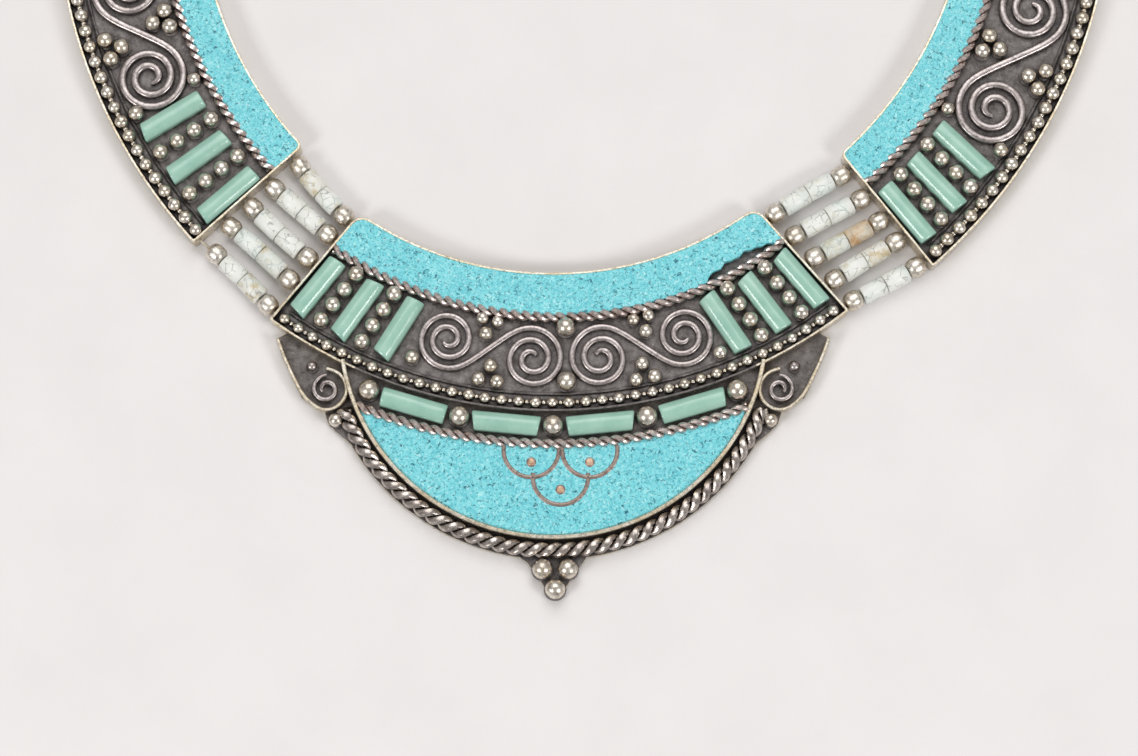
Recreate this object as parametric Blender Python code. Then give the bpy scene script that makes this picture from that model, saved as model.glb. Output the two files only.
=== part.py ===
"""Bib necklace: a soldered collar of three inlaid panels, bead strings and chain.

Lengths are in metres and angles in degrees. The necklace lies on its back:
+Z is up and +Y runs from the drop of the centre panel towards the nape.
Places on a panel are given by a station, an angle along the collar, and a
radius from the panel's own centre of curvature.
"""
from math import asin, atan2, ceil, cos, degrees, pi, radians, sin, sqrt, tan

import bmesh
import bpy
from mathutils import Matrix, Vector

# Heights above the table
PLATE_LIFT = 0.0001
PLATE_TOP = 0.0012
RECESS_FLOOR = 0.0015
FLOOR = 0.0026
RIM_TOP = 0.0042
BEZEL_TOP = 0.0044
INLAY_TOP = 0.0039
STRING_HEIGHT = 0.0022

# Shared sizes of the trim
RIM = 0.0005
BEZEL_WALL = 0.0006
CLEARANCE = 0.0003
SINK = 0.00006
ROPE_RADIUS = 0.00095
ROPE_RISE = 0.0015
OUTER_ROPE_RADIUS = 0.0012
OUTER_ROPE_RISE = 0.0020
BORDER_RISE = 0.0012
SCROLL_WIRE = 0.0009
SCROLL_RISE = 0.0011
GRAIN_RISE_SHARE = 1.55
RELIEF_ROOT = 0.3
BAR_WIDTH = 0.0036
BAR_HEIGHT = 0.0021
BAR_EDGE = 0.0006

# Centre band
BAND_INNER = 0.0640
BAND_WIDTH = 0.0267
BAND_HALF_SPAN = 36.8
BAND_TURN = 0.9
BAND_TRIM_SHIFT = 0.0012
BAND_INLAY_WIDTH = 0.0085
BAND_BORDER_BEAD = 0.0020
BAND_BAR_PITCH = 0.00854
BAND_CORNER = 0.0030
BAND_FLARE = (3.3, 17.6)

# Side panels
SIDE_INNER = 0.0786
SIDE_WIDTH = 0.0280
SIDE_HALF_SPAN = 23.95
SIDE_INLAY_WIDTH = 0.0076
SIDE_BORDER_BEAD = 0.0024
SIDE_CORNER = 0.0015
STRING_GAP = 0.0185
LEFT_SHIFT = -0.0038
RIGHT_SHIFT = 0.0025
LEFT_BAR_PITCH = 0.0095
RIGHT_BAR_PITCH = 0.0082
# side: shift outwards, turn against the band, bar pitch, flare at the end and its gain
SIDE_POSES = {
    "left": (LEFT_SHIFT, 11.4, LEFT_BAR_PITCH, (0.0, 4.0)),
    "right": (RIGHT_SHIFT, 3.85, RIGHT_BAR_PITCH, (3.5, 8.0)),
}
# side: half distance of the two spirals and their radius, shares of the way to the inner bar
SIDE_SCROLLS = {
    "left": (0.565, 0.376),
    "right": (0.56, 0.339),
}

# Drop under the band
DROP_DEPTH = 0.0240
BEZEL_RADIUS = 0.0405
DROP_REACH = BAND_INNER + BAND_WIDTH + DROP_DEPTH - BEZEL_RADIUS
OUTER_ROPE_GAP = 0.0024
OUTER_ROPE = BEZEL_RADIUS + OUTER_ROPE_GAP
PLATE_MARGIN = 0.0014
PLATE_RADIUS = OUTER_ROPE + PLATE_MARGIN
OUTER_ROPE_SPAN = 66.0
DROP_ROW_GAP = 0.0026
DROP_ROPE_GAP = 0.0036
DROP_BAR_LENGTH = 0.0126
DROP_PITCH = 0.0178
DROP_GRAIN = 0.00185
SCALLOP_RADIUS = 0.0053
SCALLOP_WIRE = 0.00075
SCALLOP_SHIFT = 0.0015
DOT_RADIUS = 0.0009
TIP_HALF_WIDTH = 0.0063
TIP_DROP = 0.0071
TIP_SHIFT = 0.0004
TIP_GRAIN = 0.0018
EAR_ANGLE = 74.5
EAR_SPIRAL = 0.0039
# Ear outline: angle about the drop's centre, share of the plate radius
EAR_OUTLINE = [(59.7, 1.0), (63.8, 1.03), (66.6, 1.047), (70.0, 1.043), (71.5, 1.08),
               (74.2, 1.117), (78.9, 1.14), (84.1, 1.17), (87.8, 1.19)]
# Tip outline: share of the half width, share of the drop
TIP_OUTLINE = [(0.83, 0.09), (0.68, 0.27), (0.46, 0.55), (0.24, 0.85)]

# Trim: places are shares of the field, from the rope (0) to the border's grains (1)
SMALL_GRAIN = 0.0012
MIDDLE_GRAIN = 0.0017
ROW_GRAIN = 0.00145
ROW_COUNT = 4
# Bars and rows: place and length of a bar, place and spacing of a row of grains
BAND_BARS = (0.473, 0.762)
BAND_ROWS = (0.457, 0.2226)
SIDE_BARS = (0.505, 0.712)
SIDE_ROWS = (0.489, 0.2092)
# Grains of the band, mirrored: station, place, share of a small grain
BAND_GRAINS = [
    (20.05, 0.759, 1.0),
    (9.95, 0.110, 0.875), (12.25, 0.1006, 0.875), (11.35, 0.2713, 1.0),
    (9.95, 0.634, 1.0), (8.8, 0.808, 1.0), (11.2, 0.808, 1.0),
]
BAND_MIDDLE_GRAINS = (0.122, 0.756)
# Single grains of a side panel, mirrored: share of the way from spiral to bar, place, size
SIDE_SINGLES = [(0.48, 0.125, 0.96), (0.60, 0.826, 1.08)]
# Clusters of a side panel: station, place, share of a small grain
SIDE_CLUSTERS = [
    (-0.7, 0.147, 1.125), (1.45, 0.152, 1.125), (0.4, 0.304, 1.125),
    (-1.15, 0.690, 1.125), (0.15, 0.8315, 1.125), (-2.05, 0.837, 1.125),
]
# Spirals of the band, mirrored: station, place
BAND_SCROLLS = ((4.6, 0.494), (16.3, 0.427))
BAND_SPIRAL = 0.305
SIDE_SCROLL_PLACES = (0.533, 0.467)
SPIRAL_EYE = 0.17
SPIRAL_TURNS = 2.25
SPIRAL_STEPS = 7

# Bead strings
STRING_BEAD = 0.00195
STRING_TUBE = 0.00185
BEAD_LENGTH = 0.0036
STRING_THREAD = 0.0003
THREAD_SHOW = 0.00015
STRING_BOW = 0.0004
STRING_BARE = 0.0020
# side: share along the side wall, along the band wall, of the bow, of the bare thread
STRINGS = {
    "left": [(0.10, 0.09, 1.0, 0), (0.345, 0.26, 0.0, 0), (0.54, 0.48, 0.75, 0),
             (0.745, 0.69, -0.75, 0), (0.95, 0.93, -1.0, 1)],
    "right": [(0.13, 0.11, -1.0, 0), (0.34, 0.32, -0.5, 0), (0.535, 0.53, 0.0, 0),
              (0.715, 0.75, -0.5, 0), (0.935, 0.94, 0.5, 0)],
}

# Chain and clasp round the nape
LINK_LENGTH = 0.0105
LINK_WIDTH = 0.0070
LINK_WIRE = 0.00065
LINK_TILT = 35.0
LINK_PRESS = 0.00035
LINKS_A_SIDE = 12
CHAIN_HEIGHT = 0.0027
LUG_RADIUS = 0.0022
LUG_WIRE = 0.0005
LUG_REACH = LUG_RADIUS - 0.9 * RIM
LUG_HEIGHT = CHAIN_HEIGHT
LUG_SEAT = LUG_REACH + LUG_RADIUS - 2 * LUG_WIRE - LINK_WIRE - 1.5 * CLEARANCE
CLASP_LENGTH = 0.0100
CLASP_RADIUS = 0.0023
CLASP_WAIST = 0.0014

ARC_SAGITTA = 0.0001
SILVER = ((0.56, 0.52, 0.47), 0.32, 1.0)
DARK_SILVER = ((0.33, 0.31, 0.28), 0.38, 1.0)
TURQUOISE = ((0.17, 0.60, 0.66), 0.45, 0.0)
SEAFOAM = ((0.35, 0.62, 0.49), 0.22, 0.0)
HOWLITE = ((0.78, 0.77, 0.71), 0.40, 0.0)


class Panel:
    """A stretch of the collar about its own centre of curvature."""

    def __init__(self, middle, side, sizes, trim, flare):
        self.centre = Vector((0, 0))
        self.middle = middle
        self.side = side
        self.inner, self.width, self.half_span = sizes
        self.inlay_width, self.bead, self.corner, self.pitch = trim
        self.end_flare, self.flare_gain = flare

    @property
    def outer(self):
        return self.inner + self.width

    @property
    def mid(self):
        return self.inner + self.width / 2

    @property
    def rope(self):
        return self.inner + self.inlay_width

    @property
    def border(self):
        """Radius of the border's grains."""
        return self.outer - RIM - CLEARANCE - self.bead / 2

    def field(self, share):
        """Radius at a share of the way from the rope to the border."""
        return self.rope + share * (self.border - self.rope)

    def angle(self, station):
        return radians(self.middle + self.side * station)

    def outward(self, station):
        angle = self.angle(station)
        return Vector((sin(angle), -cos(angle)))

    def along(self, station):
        angle = self.angle(station)
        return self.side * Vector((cos(angle), sin(angle)))

    def place(self, station, radius, shift=0.0):
        return self.centre + self.outward(station) * radius + Vector((shift, 0))

    def lean(self, station):
        """Flare of a bar or row at a station, away from the panel's middle."""
        share = 1 - abs(station) / self.half_span
        flare = self.end_flare + self.flare_gain * share
        return radians(flare) * (1 if station > 0 else -1)

    def end_station(self, end, radius, inset=0.0):
        """Station of the end edge, moved in by an inset, at a radius."""
        flare = (radius - self.mid) * tan(radians(self.end_flare)) - inset
        return end * (self.half_span + degrees(flare / radius))

    def lean_axis(self, station):
        lean = self.lean(station)
        return self.outward(station) * cos(lean) + self.along(station) * sin(lean)


def clear_scene():
    for item in list(bpy.data.objects):
        bpy.data.objects.remove(item, do_unlink=True)


def collection(name):
    group = bpy.data.collections.new(name)
    bpy.context.scene.collection.children.link(group)
    return group


def material(name, look):
    colour, roughness, metallic = look
    mat = bpy.data.materials.new(name)
    mat.use_nodes = True
    shader = mat.node_tree.nodes["Principled BSDF"]
    shader.inputs["Base Color"].default_value = (*colour, 1)
    shader.inputs["Roughness"].default_value = roughness
    shader.inputs["Metallic"].default_value = metallic
    return mat


def finish(item, look):
    item.data.materials.clear()
    item.data.materials.append(material(item.name + "_finish", look))
    return item


def hide_tool(item):
    TOOLS.objects.link(item)
    item.hide_render = True
    item.display_type = "WIRE"
    return item


def mesh_object(name, mesh, group):
    item = bpy.data.objects.new(name, mesh)
    if group is TOOLS:
        return hide_tool(item)
    group.objects.link(item)
    return item


def curve_to_mesh(name, curve, group, height=0.0, stretch=1.0, root=1.0):
    """Turn a curve into a closed mesh, its upper and lower half stretched, and raise it."""
    guide = bpy.data.objects.new(name + "_curve", curve)
    TOOLS.objects.link(guide)
    depsgraph = bpy.context.evaluated_depsgraph_get()
    mesh = bpy.data.meshes.new_from_object(guide.evaluated_get(depsgraph))
    bpy.data.objects.remove(guide, do_unlink=True)
    bpy.data.curves.remove(curve)
    form = bmesh.new()
    form.from_mesh(mesh)
    bmesh.ops.remove_doubles(form, verts=form.verts, dist=0.000001)
    for vertex in form.verts:
        vertex.co.z *= stretch if vertex.co.z > 0 else root
        vertex.co.z += height
    bmesh.ops.recalc_face_normals(form, faces=form.faces)
    form.to_mesh(mesh)
    form.free()
    return mesh_object(name, mesh, group)


def flat_solid(name, outline, bottom, top, group):
    curve = bpy.data.curves.new(name, "CURVE")
    curve.dimensions = "2D"
    curve.fill_mode = "BOTH"
    curve.extrude = (top - bottom) / 2
    spline = curve.splines.new("POLY")
    spline.points.add(len(outline) - 1)
    for point, place in zip(spline.points, outline):
        point.co = (place[0], place[1], 0, 1)
    spline.use_cyclic_u = True
    return curve_to_mesh(name, curve, group, (top + bottom) / 2)


def wire_curve(name, paths, radius, resolution, group, height=0.0, stretch=1.0, root=1.0):
    """Wires along lists of points (x, y, z, share of the radius)."""
    curve = bpy.data.curves.new(name, "CURVE")
    curve.dimensions = "3D"
    curve.bevel_depth = radius
    curve.bevel_resolution = resolution
    curve.use_fill_caps = True
    for path in paths:
        spline = curve.splines.new("POLY")
        spline.points.add(len(path) - 1)
        for point, place in zip(spline.points, path):
            point.co = (place[0], place[1], place[2] if len(place) > 2 else 0, 1)
            point.radius = place[3] if len(place) > 3 else 1
    return curve_to_mesh(name, curve, group, height, stretch, root)


def relief_wires(name, paths, width, rise, floor, resolution=1):
    """Half-round wires on a floor, widest just under its surface."""
    stretch = (rise + SINK) / (width / 2)
    return wire_curve(name, paths, width / 2, resolution, TOOLS, floor - SINK, stretch, RELIEF_ROOT)


def relief_grains(name, grains, floor):
    """Grains as domes on a floor: rows of (place, radius)."""
    form = bmesh.new()
    for place, radius in grains:
        made = bmesh.ops.create_uvsphere(form, u_segments=8, v_segments=4, radius=radius)
        for vertex in made["verts"]:
            rise = GRAIN_RISE_SHARE if vertex.co.z > 0 else RELIEF_ROOT
            vertex.co.z *= rise
        bmesh.ops.translate(form, vec=(place[0], place[1], floor - SINK), verts=made["verts"])
    mesh = bpy.data.meshes.new(name)
    form.to_mesh(mesh)
    form.free()
    return mesh_object(name, mesh, TOOLS)


def add_boolean(item, tool, operation):
    step = item.modifiers.new(tool.name, "BOOLEAN")
    step.operation = operation
    step.solver = "EXACT"
    step.object = tool


def steps_for(span, radius):
    """Chords that leave an arc by no more than the set sagitta."""
    chord = 2 * degrees(sqrt(2 * ARC_SAGITTA / radius))
    return max(2, ceil(abs(span) / chord))


def circle_points(centre, radius, start, end, steps=None):
    """Points of a circle arc; angles run from -Y towards +X."""
    count = steps or steps_for(end - start, radius)
    angles = [radians(start + (end - start) * i / count) for i in range(count + 1)]
    return [Vector((centre[0] + radius * sin(a), centre[1] - radius * cos(a))) for a in angles]


def panel_arc(panel, radius, start, end, shift=0.0):
    count = steps_for(end - start, radius)
    return [panel.place(start + (end - start) * i / count, radius, shift) for i in range(count + 1)]


def rounded(before, corner, after, reach, steps=3):
    """Points of a rounded corner between two directions."""
    first = corner + (before - corner).normalized() * reach
    last = corner + (after - corner).normalized() * reach
    points = []
    for i in range(steps + 1):
        t = i / steps
        points.append(first * (1 - t) ** 2 + corner * 2 * t * (1 - t) + last * t * t)
    return points


def sector_outline(panel, inner, outer, inset, inner_corner, outer_corner):
    """Outline of a panel between two radii, its ends moved in by an inset."""
    points = []
    for end in (-1, 1):
        low = panel.end_station(end, inner, inset)
        high = panel.end_station(end, outer, inset)
        low_point = panel.place(low, inner)
        high_point = panel.place(high, outer)
        near = panel.place(low - end, inner)
        far = panel.place(high - end, outer)
        if end < 0:
            points += rounded(near, low_point, high_point, inner_corner)
            points += rounded(low_point, high_point, far, outer_corner)
            reach = degrees(outer_corner / outer)
            stop = panel.end_station(1, outer, inset) - reach
            points += panel_arc(panel, outer, high + reach, stop)[1:-1]
        else:
            points += rounded(far, high_point, low_point, outer_corner)
            points += rounded(high_point, low_point, near, inner_corner)
            reach = degrees(inner_corner / inner)
            stop = panel.end_station(-1, inner, inset) + reach
            points += panel_arc(panel, inner, low - reach, stop)[1:-1]
    return points


def first_bar_station(panel, radius):
    """Station of the bar that lies beside the end wall."""
    reach = RIM + CLEARANCE * 1.2 + BAR_WIDTH / 2
    return panel.half_span - degrees(reach / radius)


def bar_stations(panel, radius, count=3):
    first = first_bar_station(panel, radius)
    pitch = degrees(panel.pitch / radius)
    return [end * (first - pitch * i) for end in (-1, 1) for i in range(count)]


def row_grains(panel, bars, rows, shift=0.0):
    """Rows of grains halfway between neighbouring bars."""
    grains = []
    place, spacing = rows
    stations = bar_stations(panel, panel.field(bars[0]))
    step = spacing * (panel.border - panel.rope)
    for group in (stations[:3], stations[3:]):
        for first, second in zip(group, group[1:]):
            station = (first + second) / 2
            middle = panel.place(station, panel.field(place), shift)
            axis = panel.lean_axis(station)
            for j in range(ROW_COUNT):
                offset = (j - (ROW_COUNT - 1) / 2) * step
                grains.append((middle + axis * offset, ROW_GRAIN))
    return grains


def make_bar(name, middle, axis, length, look):
    """A half-round baguette stone lying along an axis."""
    half = BAR_WIDTH / 2
    arc_rise = BAR_HEIGHT - BAR_EDGE
    section = [(-half, 0), (half, 0)]
    for i in range(6):
        angle = pi * i / 5
        section.append((half * cos(angle), BAR_EDGE + arc_rise * sin(angle)))
    curve = bpy.data.curves.new(name, "CURVE")
    curve.dimensions = "2D"
    curve.fill_mode = "BOTH"
    curve.extrude = length / 2
    spline = curve.splines.new("POLY")
    spline.points.add(len(section) - 1)
    for point, place in zip(spline.points, section):
        point.co = (place[0], place[1], 0, 1)
    spline.use_cyclic_u = True
    item = curve_to_mesh(name, curve, MODEL)
    turn = Matrix.Rotation(atan2(axis[1], axis[0]) + pi / 2, 4, "Z")
    upright = Matrix.Rotation(pi / 2, 4, "X")
    item.data.transform(turn @ upright)
    item.location = (middle[0], middle[1], FLOOR + CLEARANCE)
    return finish(item, look)


def spiral_points(centre, outer, start, turns, sense):
    """Points from a spiral's outer turn to its eye; angles in radians."""
    points = []
    count = round(turns * SPIRAL_STEPS)
    for i in range(count + 1):
        share = i / count
        radius = outer * (1 - share * (1 - SPIRAL_EYE))
        angle = start + sense * share * turns * 2 * pi
        points.append(centre + Vector((cos(angle), sin(angle))) * radius)
    return points


def scroll_path(first, second, radius, sense):
    """Two spirals joined by the line that crosses between them."""
    gap = second - first
    heading = atan2(gap[1], gap[0])
    opening = sense * radians(degrees(pi / 2) - degrees(asin(2 * radius / gap.length)))
    first_turn = spiral_points(first, radius, heading + opening, SPIRAL_TURNS, sense)
    second_turn = spiral_points(second, radius, heading + pi + opening, SPIRAL_TURNS, sense)
    return first_turn[::-1] + second_turn


def band_panel():
    sizes = (BAND_INNER, BAND_WIDTH, BAND_HALF_SPAN)
    trim = (BAND_INLAY_WIDTH, BAND_BORDER_BEAD, BAND_CORNER, BAND_BAR_PITCH)
    return Panel(BAND_TURN, 1, sizes, trim, BAND_FLARE)


def side_panel(name, band):
    """Pose a side panel against the band's end, across the bead strings."""
    shift, turn, pitch, flare = SIDE_POSES[name]
    side = 1 if name == "right" else -1
    end = side * band.half_span
    start = band.place(end, band.mid) + band.along(end) * side * STRING_GAP
    start += band.outward(end) * shift
    middle = degrees(band.angle(end)) + side * (turn + SIDE_HALF_SPAN)
    sizes = (SIDE_INNER, SIDE_WIDTH, SIDE_HALF_SPAN)
    trim = (SIDE_INLAY_WIDTH, SIDE_BORDER_BEAD, SIDE_CORNER, pitch)
    panel = Panel(middle, side, sizes, trim, flare)
    panel.centre = start - panel.outward(-SIDE_HALF_SPAN) * panel.mid
    return panel


def cut_tray(item, panel):
    """Cut a panel's field and, inside the rope, the deeper inlay recess."""
    rope = panel.rope
    top = BEZEL_TOP + RIM
    inner = panel.inner + RIM
    field = sector_outline(panel, rope, panel.outer - RIM, RIM, RIM, RIM)
    cutter = flat_solid(item.name + "_field_cut", field, FLOOR, top, TOOLS)
    add_boolean(item, cutter, "DIFFERENCE")
    corner = max(SIDE_CORNER, panel.corner - RIM)
    recess = sector_outline(panel, inner, rope + RIM, RIM, corner, RIM)
    cutter = flat_solid(item.name + "_inlay_cut", recess, RECESS_FLOOR, top, TOOLS)
    add_boolean(item, cutter, "DIFFERENCE")


def inlay_outline(panel):
    inner = panel.inner + RIM + CLEARANCE
    outer = panel.rope - ROPE_RADIUS - CLEARANCE
    corner = max(SIDE_CORNER, panel.corner - RIM)
    return sector_outline(panel, inner, outer, RIM + CLEARANCE, corner, CLEARANCE)


def make_inlay(name, outline):
    bottom = RECESS_FLOOR + CLEARANCE
    item = flat_solid(name, outline, bottom, INLAY_TOP, MODEL)
    return finish(item, TURQUOISE)


def panel_ridges(panel):
    """Paths of the rope and of the beaded border of a panel."""
    stop = panel.end_station(1, panel.rope) - degrees(RIM / 2 / panel.rope)
    edge = panel.half_span - degrees((RIM + panel.bead / 2) / panel.border)
    return panel_arc(panel, panel.rope, -stop, stop), panel_arc(panel, panel.border, -edge, edge)


def side_scroll_sizes(name, panel, stations):
    """Station of the two spirals and their radius, from the room beside the inner bar."""
    reach, radius = SIDE_SCROLLS[name]
    middle = panel.field(SIDE_BARS[0])
    room = radians(abs(stations[2])) * middle - BAR_WIDTH / 2
    return degrees(reach * room / middle), radius * room


def make_side(name, panel):
    outline = sector_outline(panel, panel.inner, panel.outer, 0, panel.corner, RIM)
    item = flat_solid(name + "_panel", outline, 0, RIM_TOP, MODEL)
    cut_tray(item, panel)
    rope, border = panel_ridges(panel)
    tool = relief_wires(name + "_rope", [rope], 2 * ROPE_RADIUS, ROPE_RISE, FLOOR)
    add_boolean(item, tool, "UNION")
    tool = relief_wires(name + "_border", [border], panel.bead, BORDER_RISE, FLOOR)
    add_boolean(item, tool, "UNION")
    bar_radius = panel.field(SIDE_BARS[0])
    stations = bar_stations(panel, bar_radius)
    reach, spiral = side_scroll_sizes(name, panel, stations)
    near = panel.place(-reach, panel.field(SIDE_SCROLL_PLACES[0]))
    far = panel.place(reach, panel.field(SIDE_SCROLL_PLACES[1]))
    scroll = scroll_path(near, far, spiral, panel.side)
    tool = relief_wires(name + "_scroll", [scroll], SCROLL_WIRE, SCROLL_RISE, FLOOR, 0)
    add_boolean(item, tool, "UNION")
    grains = side_grains(panel, reach, abs(stations[2]))
    tool = relief_grains(name + "_grains", grains, FLOOR)
    add_boolean(item, tool, "UNION")
    wall = panel.place(panel.half_span, panel.mid)
    heading = panel.along(panel.half_span)
    tool = make_ring(name + "_lug", wall + heading * LUG_REACH, heading, TOOLS)
    add_boolean(item, tool, "UNION")
    finish(item, DARK_SILVER)
    make_inlay(name + "_inlay", inlay_outline(panel))
    length = SIDE_BARS[1] * (panel.border - panel.rope)
    for number, station in enumerate(stations, 1):
        middle = panel.place(station, bar_radius)
        make_bar(f"{name}_bar_{number}", middle, panel.lean_axis(station), length, SEAFOAM)


def side_grains(panel, reach, bar):
    grains = row_grains(panel, SIDE_BARS, SIDE_ROWS)
    for share, place, size in SIDE_SINGLES:
        station = reach + share * (bar - reach)
        for end in (-1, 1):
            grains.append((panel.place(end * station, panel.field(place)), size * SMALL_GRAIN))
    for station, place, size in SIDE_CLUSTERS:
        grains.append((panel.place(station, panel.field(place)), size * SMALL_GRAIN))
    return grains


def make_ring(name, centre, along, group):
    """An upright ring in the plane of a heading and +Z."""
    bpy.ops.mesh.primitive_torus_add(
        major_segments=12, minor_segments=6, major_radius=LUG_RADIUS - LUG_WIRE, minor_radius=LUG_WIRE)
    ring = bpy.context.object
    turn = Matrix.Rotation(atan2(along[1], along[0]), 4, "Z") @ Matrix.Rotation(pi / 2, 4, "X")
    mesh = ring.data
    mesh.transform(turn)
    mesh.transform(Matrix.Translation((centre[0], centre[1], LUG_HEIGHT)))
    bpy.data.objects.remove(ring, do_unlink=True)
    return mesh_object(name, mesh, group)


def meet_angle(radius, other):
    """Angle about the drop's centre where its circle meets one about the band's centre."""
    height = (other ** 2 - radius ** 2 - DROP_REACH ** 2) / (2 * DROP_REACH)
    return degrees(pi / 2) + degrees(asin(-height / radius))


def drop_outline(radius, inner):
    """Half-moon between a circle about the drop's centre and one about the band's."""
    centre = Vector((0, -DROP_REACH))
    stop = meet_angle(radius, inner)
    lower = circle_points(centre, radius, -stop, stop)
    last = lower[-1]
    edge = degrees(atan2(last[0], -last[1]))
    upper = circle_points((0, 0), inner, edge, -edge)
    return lower + upper[1:-1]


def plate_outline(band):
    """Back plate: a circle with a pointed tip, ending in an ear at each side."""
    centre = Vector((0, -DROP_REACH))
    tip_angle = degrees(asin(TIP_HALF_WIDTH / PLATE_RADIUS))
    ears = {}
    for side in (-1, 1):
        points = []
        for angle, share in EAR_OUTLINE:
            points += circle_points(centre, PLATE_RADIUS * share, side * angle, side * angle, 1)[:1]
        ears[side] = points
    left = circle_points(centre, PLATE_RADIUS, -EAR_OUTLINE[0][0], -tip_angle)
    right = circle_points(centre, PLATE_RADIUS, tip_angle, EAR_OUTLINE[0][0])
    base = -DROP_REACH - PLATE_RADIUS
    tip = [(TIP_SHIFT - x * TIP_HALF_WIDTH, base - y * TIP_DROP) for x, y in TIP_OUTLINE]
    tip.append((TIP_SHIFT, base - TIP_DROP))
    tip += [(TIP_SHIFT + x * TIP_HALF_WIDTH, base - y * TIP_DROP) for x, y in TIP_OUTLINE[::-1]]
    under = band.outer - 2 * RIM
    reach = degrees(atan2(ears[1][-1][0], -ears[1][-1][1])) - 1
    top = circle_points((0, 0), under, reach, -reach)
    return ears[-1][::-1] + left[1:] + [Vector(p) for p in tip] + right[:-1] + ears[1] + top


def scallop_centres(rope):
    upper = -(rope - RIM)
    return [Vector((SCALLOP_SHIFT - SCALLOP_RADIUS, upper)), Vector((SCALLOP_SHIFT + SCALLOP_RADIUS, upper)),
            Vector((SCALLOP_SHIFT, upper - SCALLOP_RADIUS))]


def scallop_wall(name, centre, top):
    outer = circle_points(centre, SCALLOP_RADIUS + SCALLOP_WIRE / 2, -90, 90, 12)
    inner = circle_points(centre, SCALLOP_RADIUS - SCALLOP_WIRE / 2, 90, -90, 12)
    return flat_solid(name, outer + inner, RECESS_FLOOR - SINK, top, TOOLS)


def disc(name, centre, radius, bottom, top):
    return flat_solid(name, circle_points(centre, radius, 0, 330, 11), bottom, top, TOOLS)


def drop_sizes(band):
    """Radii about the band's centre: bar row and inner rope."""
    row = band.outer + DROP_ROW_GAP
    return row, row + DROP_ROPE_GAP


def ear_centre(side, angle=EAR_ANGLE, share=1.005):
    return circle_points((0, -DROP_REACH), PLATE_RADIUS * share, side * angle, side * angle, 1)[0]


def tip_grains():
    base = -DROP_REACH - PLATE_RADIUS
    upper = base - TIP_DROP * 0.26
    spread = TIP_GRAIN * 1.3
    lower = base - TIP_DROP * 0.79
    return [((TIP_SHIFT - spread, upper), TIP_GRAIN), ((TIP_SHIFT + spread, upper), TIP_GRAIN),
            ((TIP_SHIFT, lower), TIP_GRAIN)]


def make_centre(band):
    row, rope = drop_sizes(band)
    centre = Vector((0, -DROP_REACH))
    outline = sector_outline(band, band.inner, band.outer, 0, band.corner, RIM)
    item = flat_solid("centre_panel", outline, 0, RIM_TOP, MODEL)
    drop = drop_outline(BEZEL_RADIUS, band.outer - RIM / 2)
    block = flat_solid("drop_block", drop, (PLATE_LIFT + PLATE_TOP) / 2, BEZEL_TOP, TOOLS)
    add_boolean(item, block, "UNION")
    plate = flat_solid("back_plate", plate_outline(band), PLATE_LIFT, PLATE_TOP, TOOLS)
    add_boolean(item, plate, "UNION")
    cut_tray(item, band)
    top = BEZEL_TOP + RIM
    bezel_inner = BEZEL_RADIUS - BEZEL_WALL
    field = drop_outline(bezel_inner, band.outer + SINK)
    add_boolean(item, flat_solid("drop_field_cut", field, FLOOR, top, TOOLS), "DIFFERENCE")
    recess = drop_outline(bezel_inner, rope)
    add_boolean(item, flat_solid("drop_inlay_cut", recess, RECESS_FLOOR, top, TOOLS), "DIFFERENCE")
    add_centre_ropes(item, band, rope)
    for number, place in enumerate(scallop_centres(rope), 1):
        top = INLAY_TOP + SINK * number
        add_boolean(item, scallop_wall(f"scallop_wall_{number}", place, top), "UNION")
    add_centre_scrolls(item, band)
    add_centre_grains(item, band, row, rope)
    finish(item, DARK_SILVER)
    make_inlay("centre_inlay", inlay_outline(band))
    make_drop_inlays(rope)
    bar_radius = band.field(BAND_BARS[0])
    length = BAND_BARS[1] * (band.border - band.rope)
    for number, station in enumerate(bar_stations(band, bar_radius), 1):
        shift = BAND_TRIM_SHIFT * (1 - abs(station) / band.half_span)
        middle = band.place(station, bar_radius, shift)
        make_bar(f"centre_bar_{number}", middle, band.lean_axis(station), length, SEAFOAM)
    pitch = degrees(DROP_PITCH / row)
    for number, share in enumerate((-1.5, -0.5, 0.5, 1.5), 1):
        place = circle_points((0, 0), row, share * pitch, share * pitch, 1)[0]
        heading = Vector((-place[1], place[0]))
        make_bar(f"drop_bar_{number}", place, heading, DROP_BAR_LENGTH, SEAFOAM)


def add_centre_ropes(item, band, rope):
    band_rope, border = panel_ridges(band)
    edge = meet_angle(BEZEL_RADIUS - BEZEL_WALL / 2, rope)
    end = circle_points((0, -DROP_REACH), BEZEL_RADIUS - BEZEL_WALL / 2, edge, edge, 1)[0]
    span = degrees(atan2(end[0], -end[1]))
    drop_rope = circle_points((0, 0), rope, -span, span)
    tool = relief_wires("ropes", [band_rope, drop_rope], 2 * ROPE_RADIUS, ROPE_RISE, FLOOR)
    add_boolean(item, tool, "UNION")
    tool = relief_wires("border", [border], BAND_BORDER_BEAD, BORDER_RISE, FLOOR)
    add_boolean(item, tool, "UNION")
    outer = circle_points((0, -DROP_REACH), OUTER_ROPE, -OUTER_ROPE_SPAN, OUTER_ROPE_SPAN)
    tool = relief_wires("outer_rope", [outer], 2 * OUTER_ROPE_RADIUS, OUTER_ROPE_RISE, PLATE_TOP)
    add_boolean(item, tool, "UNION")


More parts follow.
